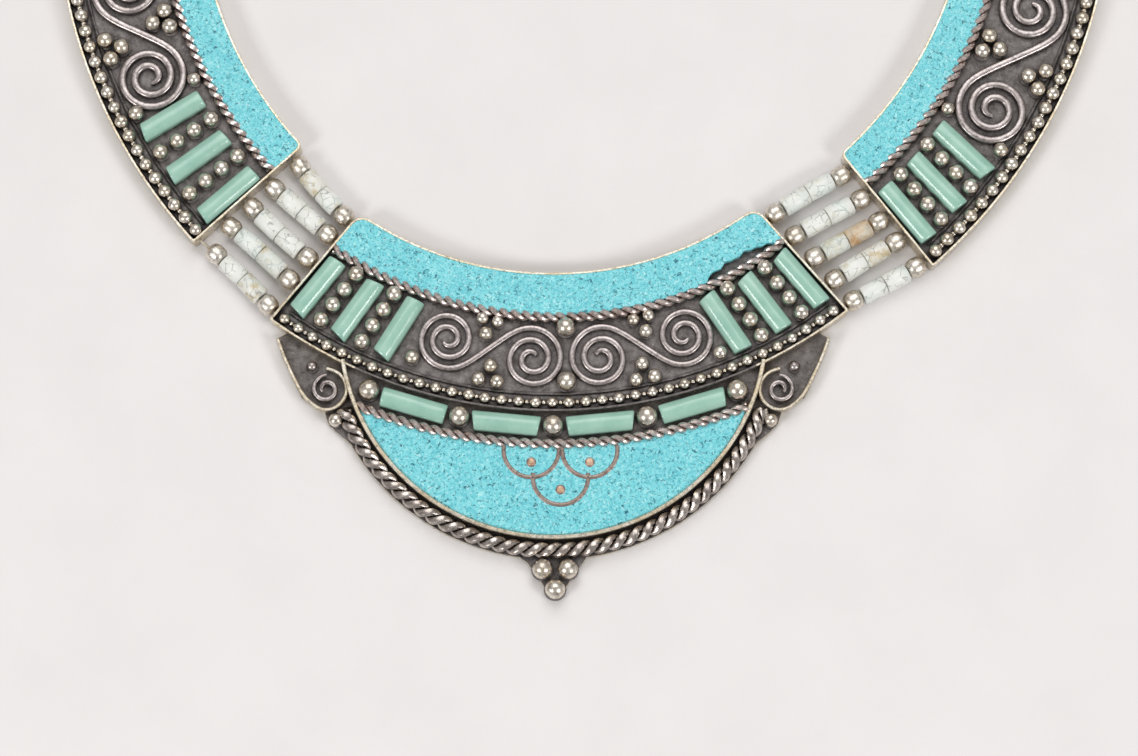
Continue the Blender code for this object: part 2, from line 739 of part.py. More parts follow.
def add_centre_scrolls(item, band):
    (near, near_place), (far, far_place) = BAND_SCROLLS
    spiral = BAND_SPIRAL * (band.border - band.rope)
    for side, name in ((-1, "left"), (1, "right")):
        inner = band.place(side * near, band.field(near_place))
        outer = band.place(side * far, band.field(far_place))
        path = scroll_path(inner, outer, spiral, side)
        tool = relief_wires(f"{name}_band_scroll", [path], SCROLL_WIRE, SCROLL_RISE, FLOOR, 0)
        add_boolean(item, tool, "UNION")
        eye = spiral_points(ear_centre(side), EAR_SPIRAL - SCROLL_WIRE, -pi / 2, 1.5, side)
        tool = relief_wires(f"{name}_ear_scroll", [eye], SCROLL_WIRE, SCROLL_RISE, PLATE_TOP, 0)
        add_boolean(item, tool, "UNION")


def add_centre_grains(item, band, row, rope):
    shift = BAND_TRIM_SHIFT
    grains = row_grains(band, BAND_BARS, BAND_ROWS, shift / 3)
    for station, place, size in BAND_GRAINS:
        for end in (-1, 1):
            spot = band.place(end * station, band.field(place), shift)
            grains.append((spot, size * SMALL_GRAIN))
    grains += [(band.place(0, band.field(place), shift), MIDDLE_GRAIN) for place in BAND_MIDDLE_GRAINS]
    for number in range(-2, 3):
        angle = number * degrees(DROP_PITCH / row)
        grains.append((circle_points((0, 0), row, angle, angle, 1)[0], DROP_GRAIN))
    add_boolean(item, relief_grains("grains", grains, FLOOR), "UNION")
    low = tip_grains()
    for side in (-1, 1):
        low.append((ear_centre(side, 79.6, 1.035), 0.0010))
        low.append((ear_centre(side, 66.5, 1.010), 0.00125))
    add_boolean(item, relief_grains("low_grains", low, PLATE_TOP), "UNION")
    for number, place in enumerate(scallop_centres(rope), 1):
        spot = place + Vector((0, -SCALLOP_RADIUS * 0.45))
        tool = disc(f"dot_{number}", spot, DOT_RADIUS, RECESS_FLOOR - SINK, INLAY_TOP + 4 * SINK)
        add_boolean(item, tool, "UNION")


def make_drop_inlays(rope):
    """Main inlay of the drop and the three cells inside the scallops."""
    edge = rope + ROPE_RADIUS + CLEARANCE
    outline = drop_outline(BEZEL_RADIUS - BEZEL_WALL - CLEARANCE, edge)
    main = make_inlay("drop_inlay", outline)
    wide = SCALLOP_RADIUS + SCALLOP_WIRE / 2 + CLEARANCE
    narrow = SCALLOP_RADIUS - SCALLOP_WIRE / 2 - CLEARANCE
    below = RECESS_FLOOR
    above = INLAY_TOP + RIM
    centres = scallop_centres(rope)
    for number, place in enumerate(centres, 1):
        add_boolean(main, disc(f"cell_cut_{number}", place, wide, below, above), "DIFFERENCE")
        name = f"scallop_inlay_{number}"
        lower = circle_points(place, narrow, -90, 90, 12)
        if number < 3:
            lower = [point for point in lower if point.length > edge + SINK]
            stop, start = [degrees(atan2(point[0], -point[1])) for point in (lower[-1], lower[0])]
            cell = make_inlay(name, lower + circle_points((0, 0), edge, stop, start))
        else:
            top = place[1] + SCALLOP_RADIUS
            corners = [Vector((place[0] + end * narrow, top)) for end in (1, -1)]
            cell = make_inlay(name, lower + corners)
            for side, upper in enumerate(centres[:2], 1):
                add_boolean(cell, disc(f"cell_top_{side}", upper, wide, below, above), "DIFFERENCE")
        spot = place + Vector((0, -SCALLOP_RADIUS * 0.45))
        hole = disc(f"dot_cut_{number}", spot, DOT_RADIUS + CLEARANCE, below, above)
        add_boolean(cell, hole, "DIFFERENCE")


def end_wall_point(panel, end, share):
    """Point on a panel's end wall, a share of the way from its inner corner."""
    radius = panel.inner + share * panel.width
    return panel.place(panel.end_station(end, radius), radius)


def make_string(name, start, stop, bow, bare):
    """A string of bead, tube, tube and bead, turned round one thread."""
    gap = stop - start
    heading = gap.normalized()
    across = Vector((-heading[1], heading[0]))
    length = gap.length - 2 * CLEARANCE
    tube = (length - bare - 2 * BEAD_LENGTH - 5 * THREAD_SHOW) / 2
    thin = STRING_THREAD / STRING_BEAD
    wide = STRING_TUBE / STRING_BEAD
    bead_rings = [(0.0, 0.62), (0.27, 0.97), (0.73, 0.97), (1.0, 0.62)]
    tube_rings = [(0.0, wide), (1.0, wide)]
    rings = [(0, thin)]
    spot = bare + THREAD_SHOW
    for size, profile in ((BEAD_LENGTH, bead_rings), (tube, tube_rings),
                          (tube, tube_rings), (BEAD_LENGTH, bead_rings)):
        rings += [(spot + share * size, girth) for share, girth in profile]
        spot += size + THREAD_SHOW
        rings.append((min(spot, length) - THREAD_SHOW / 2, thin))
    path = []
    for distance, share in rings:
        sag = bow * sin(pi * distance / length)
        place = start + heading * (distance + CLEARANCE) + across * sag
        path.append((place[0], place[1], STRING_HEIGHT, share))
    return finish(wire_curve(name, [path], STRING_BEAD, 3, MODEL), HOWLITE)


def make_strings(name, panel, band):
    side = panel.side
    for number, (side_share, band_share, bow, bare) in enumerate(STRINGS[name], 1):
        start = end_wall_point(panel, -1, side_share)
        stop = end_wall_point(band, side, band_share)
        bow_width = side * bow * STRING_BOW
        make_string(f"{name}_string_{number}", start, stop, bow_width, bare * STRING_BARE)


def nape_route(left, right):
    """Half oval between the far walls, as long as the chains and the clasp."""
    start = right.place(right.half_span, right.mid)
    stop = left.place(left.half_span, left.mid)
    middle = (start + stop) / 2
    half = (start - stop) / 2
    rise = Vector((-half[1], half[0])).normalized()
    target = 2 * (chain_length() + CLASP_LENGTH / 2)
    low, high = 0.0, target
    count = 240
    for _ in range(40):
        depth = (low + high) / 2
        points = [middle + half * cos(pi * i / count) + rise * depth * sin(pi * i / count)
                  for i in range(count + 1)]
        total = sum((b - a).length for a, b in zip(points, points[1:]))
        if total < target:
            low = depth
        else:
            high = depth
    return points


def chain_length():
    """From a far wall to the clasp's end face."""
    pitch = link_pitch()
    return 2 * LUG_SEAT + LINK_LENGTH - 2 * LINK_WIRE + pitch * (LINKS_A_SIDE - 1)


def link_pitch():
    return LINK_LENGTH - 4 * LINK_WIRE + LINK_PRESS


def route_at(points, distance):
    """Place and heading at a distance along a route."""
    for first, second in zip(points, points[1:]):
        step = (second - first).length
        if distance <= step:
            return first + (second - first) * (distance / step), (second - first).normalized()
        distance -= step
    return points[-1], (points[-1] - points[-2]).normalized()


def link_mesh(centre, heading, tilt):
    """An oval link along a heading, leaning about its own length."""
    bpy.ops.mesh.primitive_torus_add(
        major_segments=10, minor_segments=6, major_radius=LINK_WIDTH / 2 - LINK_WIRE, minor_radius=LINK_WIRE)
    ring = bpy.context.object
    mesh = ring.data
    bpy.data.objects.remove(ring, do_unlink=True)
    straight = (LINK_LENGTH - LINK_WIDTH) / 2
    for vertex in mesh.vertices:
        if abs(vertex.co.x) > SINK:
            vertex.co.x += straight if vertex.co.x > 0 else -straight
    mesh.transform(Matrix.Rotation(radians(tilt), 4, "X"))
    mesh.transform(Matrix.Rotation(atan2(heading[1], heading[0]), 4, "Z"))
    mesh.transform(Matrix.Translation((centre[0], centre[1], CHAIN_HEIGHT)))
    return mesh


def links_object(name, route, numbers, group):
    form = bmesh.new()
    for number in numbers:
        distance = LUG_SEAT + LINK_LENGTH / 2 - LINK_WIRE + link_pitch() * number
        centre, heading = route_at(route, distance)
        form.from_mesh(link_mesh(centre, heading, LINK_TILT if number % 2 else -LINK_TILT))
    mesh = bpy.data.meshes.new(name)
    form.to_mesh(mesh)
    form.free()
    return mesh_object(name, mesh, group)


def make_chain(name, route):
    item = links_object(name, route, range(0, LINKS_A_SIDE, 2), MODEL)
    tool = links_object(name + "_even", route, range(1, LINKS_A_SIDE, 2), TOOLS)
    add_boolean(item, tool, "UNION")
    return finish(item, SILVER)


def make_clasp(route):
    """A plain barrel with a ring at each end."""
    start = chain_length()
    stop = start + CLASP_LENGTH
    first, _ = route_at(route, start)
    last, _ = route_at(route, stop)
    heading = (last - first).normalized()
    middle = (first + last) / 2
    shares = [(0.0, CLASP_WAIST), (0.12, CLASP_RADIUS), (0.88, CLASP_RADIUS), (1.0, CLASP_WAIST)]
    path = []
    for share, radius in shares:
        place = middle + heading * (share - 0.5) * CLASP_LENGTH
        path.append((place[0], place[1], LUG_HEIGHT, radius / CLASP_RADIUS))
    item = wire_curve("clasp", [path], CLASP_RADIUS, 4, MODEL)
    for number, end in enumerate((-1, 1), 1):
        place = middle + heading * end * (CLASP_LENGTH / 2 + LUG_REACH)
        add_boolean(item, make_ring(f"clasp_ring_{number}", place, heading, TOOLS), "UNION")
    return finish(item, SILVER)


def move_origin():
    """Put the origin under the middle of the whole necklace."""
    depsgraph = bpy.context.evaluated_depsgraph_get()
    low = Vector((1e9, 1e9))
    high = Vector((-1e9, -1e9))
    for item in MODEL.objects:
        mesh = item.evaluated_get(depsgraph).to_mesh()
        for vertex in mesh.vertices:
            place = item.matrix_world @ vertex.co
            for axis in range(2):
                low[axis] = min(low[axis], place[axis])
                high[axis] = max(high[axis], place[axis])
    middle = (low + high) / 2
    for item in list(MODEL.objects) + list(TOOLS.objects):
        item.location.x -= middle[0]
        item.location.y -= middle[1]
    bpy.context.view_layer.update()


def shade_round_pieces():
    for item in MODEL.objects:
        item.data.shade_smooth()
        item.data.set_sharp_from_angle(angle=radians(40))


def main():
    band = band_panel()
    sides = {name: side_panel(name, band) for name in SIDE_POSES}
    make_centre(band)
    for name, panel in sides.items():
        make_side(name, panel)
        make_strings(name, panel, band)
    route = nape_route(sides["left"], sides["right"])
    make_chain("right_chain", route)
    make_chain("left_chain", route[::-1])
    make_clasp(route)
    bpy.context.view_layer.update()
    move_origin()
    shade_round_pieces()


clear_scene()
MODEL = collection("bib_necklace")
TOOLS = collection("bib_necklace_tools")
main()
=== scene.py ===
import random
from math import asin, atan2, cos, degrees, pi, radians, sin, tan

import bpy
from mathutils import Matrix, Vector, geometry, noise


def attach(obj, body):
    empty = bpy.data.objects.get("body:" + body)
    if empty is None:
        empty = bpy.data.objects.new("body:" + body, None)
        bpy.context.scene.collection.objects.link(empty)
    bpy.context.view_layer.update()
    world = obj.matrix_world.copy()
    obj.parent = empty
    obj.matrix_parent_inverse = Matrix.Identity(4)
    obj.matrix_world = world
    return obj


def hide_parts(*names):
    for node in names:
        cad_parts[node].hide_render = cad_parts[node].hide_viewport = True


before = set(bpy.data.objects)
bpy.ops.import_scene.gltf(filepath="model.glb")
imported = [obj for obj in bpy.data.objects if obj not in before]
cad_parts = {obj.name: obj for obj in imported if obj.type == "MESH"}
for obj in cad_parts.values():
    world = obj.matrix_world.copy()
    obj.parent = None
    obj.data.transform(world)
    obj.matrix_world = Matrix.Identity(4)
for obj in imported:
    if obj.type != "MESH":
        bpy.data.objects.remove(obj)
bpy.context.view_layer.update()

# The necklace's own layout, in metres: the band's centre of curvature is (0, 0)
ORIGIN = Vector((-0.005992, 0.028506, 0))
PLATE_LIFT, PLATE_TOP, FLOOR = 0.0001, 0.0012, 0.0026
RIM_TOP, BEZEL_TOP, INLAY_TOP = 0.0042, 0.0044, 0.0039
STRING_HEIGHT, CHAIN_HEIGHT = 0.0022, 0.0027
RIM, BEZEL_WALL, CLEARANCE = 0.0005, 0.0006, 0.0003
# Rounding of a small edge and of a wall's top, and how deep a wall is let into its plate
EDGE, WALL_EDGE, LET_IN = 0.0001, 0.00014, 0.0002
# Twisted wires: radius and pitch; a strand's offset and radius are shares of the rope's
ROPE_RADIUS, OUTER_ROPE_RADIUS = 0.00100, 0.00150
ROPE_PITCH, OUTER_ROPE_PITCH = 0.0043, 0.0054
ROPE_STRANDS, ROPE_STEPS, STRAND_OFFSET, STRAND_RADIUS = 2, 14, 0.52, 0.54
SCROLL_WIRE, SIDE_SCROLL_WIRE, EAR_SCROLL_WIRE = 0.0012, 0.00145, 0.0009
BAR_WIDTH, BAR_RISE, BAR_CHIP = 0.0037, 0.0022, 0.00035
BEAD_PITCH, BEAD_JITTER, BORDER_RISE, BORDER_EDGE = 0.00318, 0.00006, 0.00042, 0.00025
LEDGE_GAP, LEDGE_RADIUS = 0.0005, 0.00028
CORNER_STEPS, SPIRAL_STEPS = 6, 40
# Wall of a tray: step inwards, height
TRAY_WALL = [(0.00012, 0.0), (0.0, WALL_EDGE), (0.0, RIM_TOP - 0.00016), (EDGE, RIM_TOP),
             (RIM - EDGE, RIM_TOP), (RIM, RIM_TOP - WALL_EDGE), (RIM + 0.00003, FLOOR)]
# Half a baguette: share of its half length, size; share of its half width, share of its rise
BAR_HALF = [(1.0, 0.86), (0.985, 0.95), (0.96, 0.99), (0.9, 1), (0.6, 1), (0.3, 1)]
BAR_HALF_SECTION = [(1.0, 0.0), (1.0, 0.52), (0.97, 0.61), (0.90, 0.69), (0.78, 0.785), (0.64, 0.87),
                    (0.50, 0.94), (0.36, 0.985), (0.22, 1.0)]

# Panels: inner radius, width and half span in degrees
BAND = (0.0640, 0.0267, 36.8)
SIDE = (0.0786, 0.0280, 23.95)
BAND_TURN, TRIM_SHIFT, STRING_GAP = 0.9, 0.0012, 0.0185
# Their trim: width of the inlay, border bead, corner radius and pitch of the bars
BAND_TRIM = (0.0085, 0.0020, 0.0030, 0.00854)
# Lean of the end walls and how much more a bar leans towards the middle, in degrees
BAND_FLARE = (3.3, 17.6)
# Side panels: shift, turn against the band, trim and flare
SIDE_POSES = {
    "left": (-0.0038, 11.4, (0.0076, 0.0024, 0.0015, 0.0095), (0.0, 4.0)),
    "right": (0.0025, 3.85, (0.0076, 0.0024, 0.0015, 0.0082), (3.5, 8.0)),
}
# Distance and radius of a side panel's spirals, as shares of the room between its bars
SIDE_SCROLLS = {"left": (0.565, 0.376), "right": (0.56, 0.339)}
SIDE_SCROLL_PLACES, SIDE_SCROLL_SIZE, SIDE_TURNS = (0.533, 0.467), 1.16, 2.4
# Spirals of the band, mirrored: station, place and size
BAND_SCROLLS = ((4.6, 0.494, 1.27), (16.3, 0.427, 1.20))
BAND_SPIRAL, BAND_TURNS = 0.305, 2.25
# Bare patch in the band's inlay: first and last station, depth
BARE_PATCHES = [(23.0, 34.8, 0.0019)]
# Painted shade on the band's rim where the drop meets it: depth, distance from the bezel and lowest height
PAINTED_RIM_SHADE = (0.0012, 0.0025, 0.0030)

# Bars and rows of grains: place and length of a bar, place and spacing of a row
BAND_BARS, BAND_ROWS = (0.473, 0.762), (0.457, 0.2226)
SIDE_BARS, SIDE_ROWS = (0.505, 0.712), (0.489, 0.2092)
SMALL_GRAIN, MIDDLE_GRAIN, ROW_GRAIN = 0.0013, 0.0017, 0.00145
# Grains of the band, mirrored: station, place, share of a small grain
BAND_GRAINS = [
    (20.05, 0.759, 1.0),
    (9.95, 0.110, 0.875), (12.25, 0.1006, 0.875), (11.35, 0.2713, 1.0),
    (9.95, 0.634, 1.0), (8.8, 0.808, 1.0), (11.2, 0.808, 1.0),
]
BAND_MIDDLE_GRAINS = (0.122, 0.756)
# Single grains of a side panel, mirrored: share of the way from spiral to bar, place, size
SIDE_SINGLES = [(0.48, 0.125, 0.96), (0.60, 0.826, 1.08)]
# Clusters of a side panel: station, place, share of a small grain
SIDE_CLUSTERS = [
    (-0.7, 0.147, 1.125), (1.45, 0.152, 1.125), (0.4, 0.304, 1.125),
    (-1.15, 0.690, 1.125), (0.15, 0.8315, 1.125), (-2.05, 0.837, 1.125),
]

DROP_DEPTH, BEZEL_RADIUS = 0.0240, 0.0405
DROP_REACH = BAND[0] + BAND[1] + DROP_DEPTH - BEZEL_RADIUS
OUTER_ROPE, OUTER_ROPE_SPAN = BEZEL_RADIUS + 0.0024, 68
PLATE_RADIUS = OUTER_ROPE + 0.0014
DROP_ROW_GAP, DROP_ROPE_GAP = 0.0026, 0.0036
DROP_BAR_LENGTH, DROP_PITCH, DROP_GRAIN = 0.0126, 0.0178, 0.00185
SCALLOP_RADIUS, SCALLOP_SHIFT, SCALLOP_DROP, SCALLOP_SPAN = 0.0052, 0.0014, 0.0011, 99
SCALLOP_WIRE, SCALLOP_DOT, SCALLOP_CORE = 0.00043, 0.00095, 0.0007
TIP_HALF_WIDTH, TIP_DROP, TIP_SHIFT, TIP_GRAIN = 0.0063, 0.0071, 0.0004, 0.0018
# Tip: half outline and grains, as shares of its half width or a grain, and of its drop
TIP_OUTLINE = [(0.83, 0.09), (0.68, 0.27), (0.46, 0.55), (0.24, 0.85)]
TIP_GRAINS = [(-1.3, 0.26), (1.3, 0.26), (0.0, 0.79)]
# Ears: angle and share of the plate's radius; the last five points are its wall's
EAR_OUTLINE = [(59.7, 1.0), (63.8, 1.03), (66.6, 1.047), (70.0, 1.043), (71.5, 1.08),
               (74.2, 1.117), (78.9, 1.14), (84.1, 1.17), (87.8, 1.19)]
EAR_ANGLE, EAR_SPIRAL, EAR_HALF_WALL, EAR_TOP = 74.5, 0.0027, 0.00032, 0.0034
EAR_CURL, EAR_CURL_CLOSING, EAR_CURL_TURN = 0.0045, 0.0007, 1.15 * pi
# Grains of an ear: angle, share of the plate's radius, radius, height over the plate, look
EAR_GRAINS = [(80.6, 1.045, 0.0010, 0.0003, "wire"), (66.5, 1.010, 0.00125, 0.0, "silver")]

STRING_BEAD, STRING_TUBE, BEAD_LENGTH, BEAD_GAP = 0.00195, 0.00185, 0.0036, 0.00015
THREAD_RADIUS, STRING_BOW, BARE_THREAD = 0.0003, 0.0004, 0.0020
# Strings: share of the side's end wall, share of the band's, bow, bare thread at the side
STRINGS = {
    "left": [(0.10, 0.09, 1.0, 0), (0.345, 0.26, 0.0, 0), (0.54, 0.48, 0.75, 0),
             (0.745, 0.69, -0.75, 0), (0.95, 0.93, -1.0, 1)],
    "right": [(0.13, 0.11, -1.0, 0), (0.34, 0.32, -0.5, 0), (0.535, 0.53, 0.0, 0),
              (0.715, 0.75, -0.5, 0), (0.935, 0.94, 0.5, 0)],
}
LINK_LENGTH, LINK_WIDTH, LINK_WIRE, LINK_TILT = 0.0105, 0.0070, 0.00065, 35.0
LINKS_A_SIDE, LINK_PLAY = 12, 0.00035
LINK_PITCH = LINK_LENGTH - 4 * LINK_WIRE + LINK_PLAY
LUG_RADIUS, LUG_WIRE = 0.0022, 0.0005
LUG_REACH = LUG_RADIUS - 0.9 * RIM
LUG_SEAT = LUG_REACH + LUG_RADIUS - 2 * LUG_WIRE - LINK_WIRE - 1.5 * CLEARANCE
CHAIN_LENGTH = 2 * LUG_SEAT + LINK_LENGTH - 2 * LINK_WIRE + LINK_PITCH * (LINKS_A_SIDE - 1)
LINK_STEPS, RING_STEPS, WIRE_SIDES = 36, 28, 10
CLASP_LENGTH, CLASP_RADIUS = 0.0100, 0.0023

CAMERA_TARGET = Vector((0.0030, -0.0836, 0))
CAMERA_ELEVATION, CAMERA_DISTANCE, CAMERA_LENS = 80.0, 0.600, 99.9
# Lights: place and aim from the camera's target, size and power
LIGHTS = {
    "light_left": ((-0.56, -0.38, 0.60), (0.0, 0.0, 0.0), 0.26, 2.3),
    "light_right": ((0.56, -0.38, 0.60), (0.0, 0.0, 0.0), 0.26, 2.3),
    "light_top": ((0.0, 0.62, 0.92), (0.0, 0.08, 0.0), 0.8, 4.7),
}
WORLD_STRENGTH, GROUND_SIZE, GROUND_DROP = 0.40, 3.0, 0.00005

rng = random.Random(11)


# Materials

class Shader:
    """A node tree with short calls for the nodes that the materials share."""

    def __init__(self, name, roughness, metallic, **sockets):
        self.mat = bpy.data.materials.new(name)
        self.mat.use_nodes = True
        self.tree = self.mat.node_tree
        self.bsdf = self.tree.nodes["Principled BSDF"]
        self.bsdf.inputs["Roughness"].default_value = roughness
        self.bsdf.inputs["Metallic"].default_value = metallic
        for key, value in sockets.items():
            self.bsdf.inputs[key.replace("_", " ")].default_value = value
        self.coords = self.node("ShaderNodeTexCoord").outputs["Object"]

    def node(self, kind, **settings):
        made = self.tree.nodes.new(kind)
        for key, value in settings.items():
            setattr(made, key, value)
        return made

    def link(self, output, target):
        self.tree.links.new(output, target)

    def noise(self, size, detail=3.0, rough=0.55, distortion=0.0):
        made = self.node("ShaderNodeTexNoise")
        made.inputs["Scale"].default_value = 1 / size
        made.inputs["Detail"].default_value = detail
        made.inputs["Roughness"].default_value = rough
        made.inputs["Distortion"].default_value = distortion
        self.link(self.coords, made.inputs["Vector"])
        return made.outputs["Fac"]

    def cells(self, size, feature, output):
        made = self.node("ShaderNodeTexVoronoi", feature=feature)
        made.inputs["Scale"].default_value = 1 / size
        self.link(self.coords, made.inputs["Vector"])
        return made.outputs[output]

    def ramp(self, value, stops):
        made = self.node("ShaderNodeValToRGB")
        self.link(value, made.inputs["Fac"])
        band = made.color_ramp
        while len(band.elements) < len(stops):
            band.elements.new(0.5)
        for element, (place, colour) in zip(band.elements, stops):
            element.position = place
            element.color = (*colour, 1) if isinstance(colour, tuple) else (colour,) * 3 + (1,)
        return made.outputs["Color"]

    def mix(self, share, first, second, blend="MIX"):
        made = self.node("ShaderNodeMix", data_type="RGBA", blend_type=blend)
        for key, value in (("Factor", share), ("A", first), ("B", second)):
            sockets = [s for s in made.inputs if s.name == key and s.enabled]
            socket = sockets[-1] if key == "Factor" else [s for s in sockets if s.type == "RGBA"][-1]
            if isinstance(value, (int, float)):
                socket.default_value = value
            elif isinstance(value, tuple):
                socket.default_value = (*value, 1)
            else:
                self.link(value, socket)
        return [s for s in made.outputs if s.type == "RGBA"][-1]

    def hollow(self, reach):
        """1 on open surfaces, falling to 0 in crevices."""
        made = self.node("ShaderNodeAmbientOcclusion", samples=6)
        made.inputs["Distance"].default_value = reach
        return made.outputs["AO"]

    def colour(self, output):
        self.link(output, self.bsdf.inputs["Base Color"])

    def roughness(self, value, low, high):
        made = self.node("ShaderNodeMapRange")
        made.inputs["To Min"].default_value = low
        made.inputs["To Max"].default_value = high
        self.link(value, made.inputs["Value"])
        self.link(made.outputs["Result"], self.bsdf.inputs["Roughness"])

    def bump(self, height, depth):
        made = self.node("ShaderNodeBump")
        made.inputs["Distance"].default_value = depth
        self.link(height, made.inputs["Height"])
        self.link(made.outputs["Normal"], self.bsdf.inputs["Normal"])


def silver(name, light, warm, dark, reach, roughness, worn):
    """Worn silver: bright on top, with a dark oxide left in the crevices."""
    s = Shader(name, roughness[0], 1.0)
    tint = s.ramp(s.noise(0.0035, 4), [(0.35, warm), (0.65, light)])
    oxide = s.ramp(s.hollow(reach), [(worn[0], 0.0), (worn[1], 1.0)])
    spots = s.ramp(s.noise(0.0007, 5, 0.7), [(0.36, 0.35), (0.52, 1.0)])
    tone = s.mix(oxide, dark, tint)
    s.colour(s.mix(0.75, tone, spots, "MULTIPLY"))
    s.roughness(s.noise(0.0005, 4), *roughness)
    s.bump(s.noise(0.00035, 4, 0.6), 0.000025)
    return s.mat


def field_metal():
    """The oxidised floor: dark grey-brown, hammered, with small painted highlights as light glints."""
    s = Shader("field_metal", 0.45, 0.85)
    greys = [(0.30, (0.07, 0.062, 0.06)), (0.52, (0.195, 0.177, 0.172)), (0.72, (0.31, 0.285, 0.275))]
    tone = s.ramp(s.noise(0.0016, 6, 0.7), greys)
    # Painted highlight: small light flecks mixed into the colour as glints
    glints = s.ramp(s.noise(0.0004, 3, 0.5, 1.5), [(0.62, 0.0), (0.72, 1.0)])
    tone = s.mix(glints, tone, (0.36, 0.33, 0.31))
    s.colour(s.mix(s.ramp(s.hollow(0.0016), [(0.25, 0.0), (0.75, 1.0)]), (0.02, 0.018, 0.018), tone))
    s.roughness(s.noise(0.0008, 4), 0.32, 0.6)
    s.bump(s.noise(0.0009, 5, 0.65), 0.00025)
    return s.mat


def turquoise():
    """Stone chips set in a blue resin, ground flat, with dark pits."""
    s = Shader("turquoise_chips", 0.38, 0.0, Specular_IOR_Level=0.4)
    blues = [(0.0, (0.12, 0.55, 0.62)), (0.45, (0.21, 0.70, 0.76)), (0.8, (0.31, 0.78, 0.82)),
             (1.0, (0.56, 0.90, 0.92))]
    chips = s.ramp(s.cells(0.00038, "F1", "Color"), blues)
    broad = s.ramp(s.noise(0.005, 3), [(0.35, (0.86, 0.93, 0.95)), (0.65, (1.0, 1.0, 1.0))])
    tone = s.mix(1.0, chips, broad, "MULTIPLY")
    specks = s.ramp(s.noise(0.00075, 4, 0.65, 0.6), [(0.35, 0.95), (0.425, 0.0)])
    tone = s.mix(specks, tone, (0.015, 0.12, 0.17))
    fine = s.ramp(s.noise(0.00034, 2), [(0.32, 0.8), (0.42, 0.0)])
    tone = s.mix(fine, tone, (0.03, 0.26, 0.33))
    pale = s.ramp(s.noise(0.0006, 3, 0.6, 0.4), [(0.66, 0.0), (0.74, 0.55)])
    s.colour(s.mix(pale, tone, (0.62, 0.86, 0.87)))
    s.roughness(s.noise(0.0005, 3), 0.3, 0.5)
    s.bump(s.noise(0.0004, 4, 0.6), 0.00006)
    return s.mat


def seafoam():
    """Polished sea-green stone with faint clouds and small dark nicks."""
    s = Shader("seafoam_stone", 0.16, 0.0, Coat_Weight=0.35, Coat_Roughness=0.08)
    tone = s.ramp(s.noise(0.004, 4), [(0.3, (0.29, 0.525, 0.425)), (0.7, (0.385, 0.62, 0.515))])
    pale = s.ramp(s.noise(0.0012, 3), [(0.6, 0.0), (0.8, 0.35)])
    tone = s.mix(pale, tone, (0.50, 0.74, 0.63))
    nicks = s.ramp(s.noise(0.0007, 4, 0.7), [(0.24, 0.75), (0.31, 0.0)])
    s.colour(s.mix(nicks, tone, (0.06, 0.16, 0.12)))
    s.roughness(s.noise(0.001, 3), 0.10, 0.24)
    s.bump(s.noise(0.0008, 3), 0.00003)
    return s.mat


def howlite(name, base, stain, stained):
    """Pale stone with grey veins and tan stains."""
    s = Shader(name, 0.35, 0.0)
    body = s.ramp(s.noise(0.0022, 4), [(stained, stain), (stained + 0.16, base)])
    veins = s.ramp(s.cells(0.0018, "DISTANCE_TO_EDGE", "Distance"), [(0.0, 0.75), (0.06, 0.0)])
    breaks = s.ramp(s.noise(0.0015, 3), [(0.45, 0.0), (0.55, 1.0)])
    body = s.mix(s.mix(1.0, veins, breaks, "MULTIPLY"), body, (0.20, 0.20, 0.19))
    greenish = s.ramp(s.noise(0.006, 2), [(0.45, 0.0), (0.6, 0.4)])
    s.colour(s.mix(greenish, body, (0.66, 0.77, 0.74)))
    s.bump(s.noise(0.0005, 4), 0.00005)
    return s.mat


def plain_thread():
    s = Shader("thread", 0.7, 0.0)
    s.colour(s.ramp(s.noise(0.0004, 3), [(0.4, (0.42, 0.36, 0.28)), (0.6, (0.60, 0.54, 0.45))]))
    s.bump(s.noise(0.0002, 2), 0.00004)
    return s.mat


def floor_paper():
    s = Shader("floor_paper", 0.75, 0.0, Specular_IOR_Level=0.2)
    s.colour(s.ramp(s.noise(0.02, 4), [(0.3, (0.80, 0.775, 0.77)), (0.7, (0.83, 0.805, 0.80))]))
    s.bump(s.noise(0.0006, 3), 0.00003)
    return s.mat


# Silver looks: name, light tint, warm tint, oxide, reach of a crevice, roughness, wear
SILVERS = {
    "silver": ("worn_silver", (0.86, 0.80, 0.72), (0.74, 0.65, 0.53), (0.05, 0.042, 0.038),
               0.0010, (0.22, 0.38), (0.2, 0.75)),
    "rim": ("rim_silver", (0.86, 0.80, 0.68), (0.70, 0.59, 0.42), (0.09, 0.075, 0.06),
            0.0006, (0.22, 0.4), (0.2, 0.6)),
    "outer_rope": ("oxidised_rope", (0.66, 0.60, 0.55), (0.44, 0.38, 0.35), (0.03, 0.026, 0.025),
                   0.0010, (0.2, 0.36), (0.3, 0.8)),
    "dot": ("copper_dot", (0.78, 0.56, 0.40), (0.66, 0.44, 0.30), (0.3, 0.2, 0.15),
            0.0004, (0.4, 0.55), (0.0, 0.2)),
    "wire": ("wire_silver", (0.55, 0.495, 0.48), (0.42, 0.365, 0.35), (0.05, 0.043, 0.042),
             0.0009, (0.26, 0.40), (0.15, 0.6)),
    "rope": ("rope_silver", (0.82, 0.73, 0.70), (0.66, 0.54, 0.50), (0.05, 0.042, 0.04),
             0.0007, (0.24, 0.42), (0.1, 0.6)),
    "bead": ("bead_silver", (0.88, 0.83, 0.76), (0.74, 0.66, 0.55), (0.12, 0.10, 0.08),
             0.0010, (0.28, 0.44), (0.05, 0.4)),
    "copper": ("copper_wire", (0.40, 0.32, 0.28), (0.33, 0.25, 0.22), (0.10, 0.08, 0.07),
               0.0004, (0.35, 0.5), (0.1, 0.4)),
}
MATERIALS = {look: silver(*row) for look, row in SILVERS.items()}
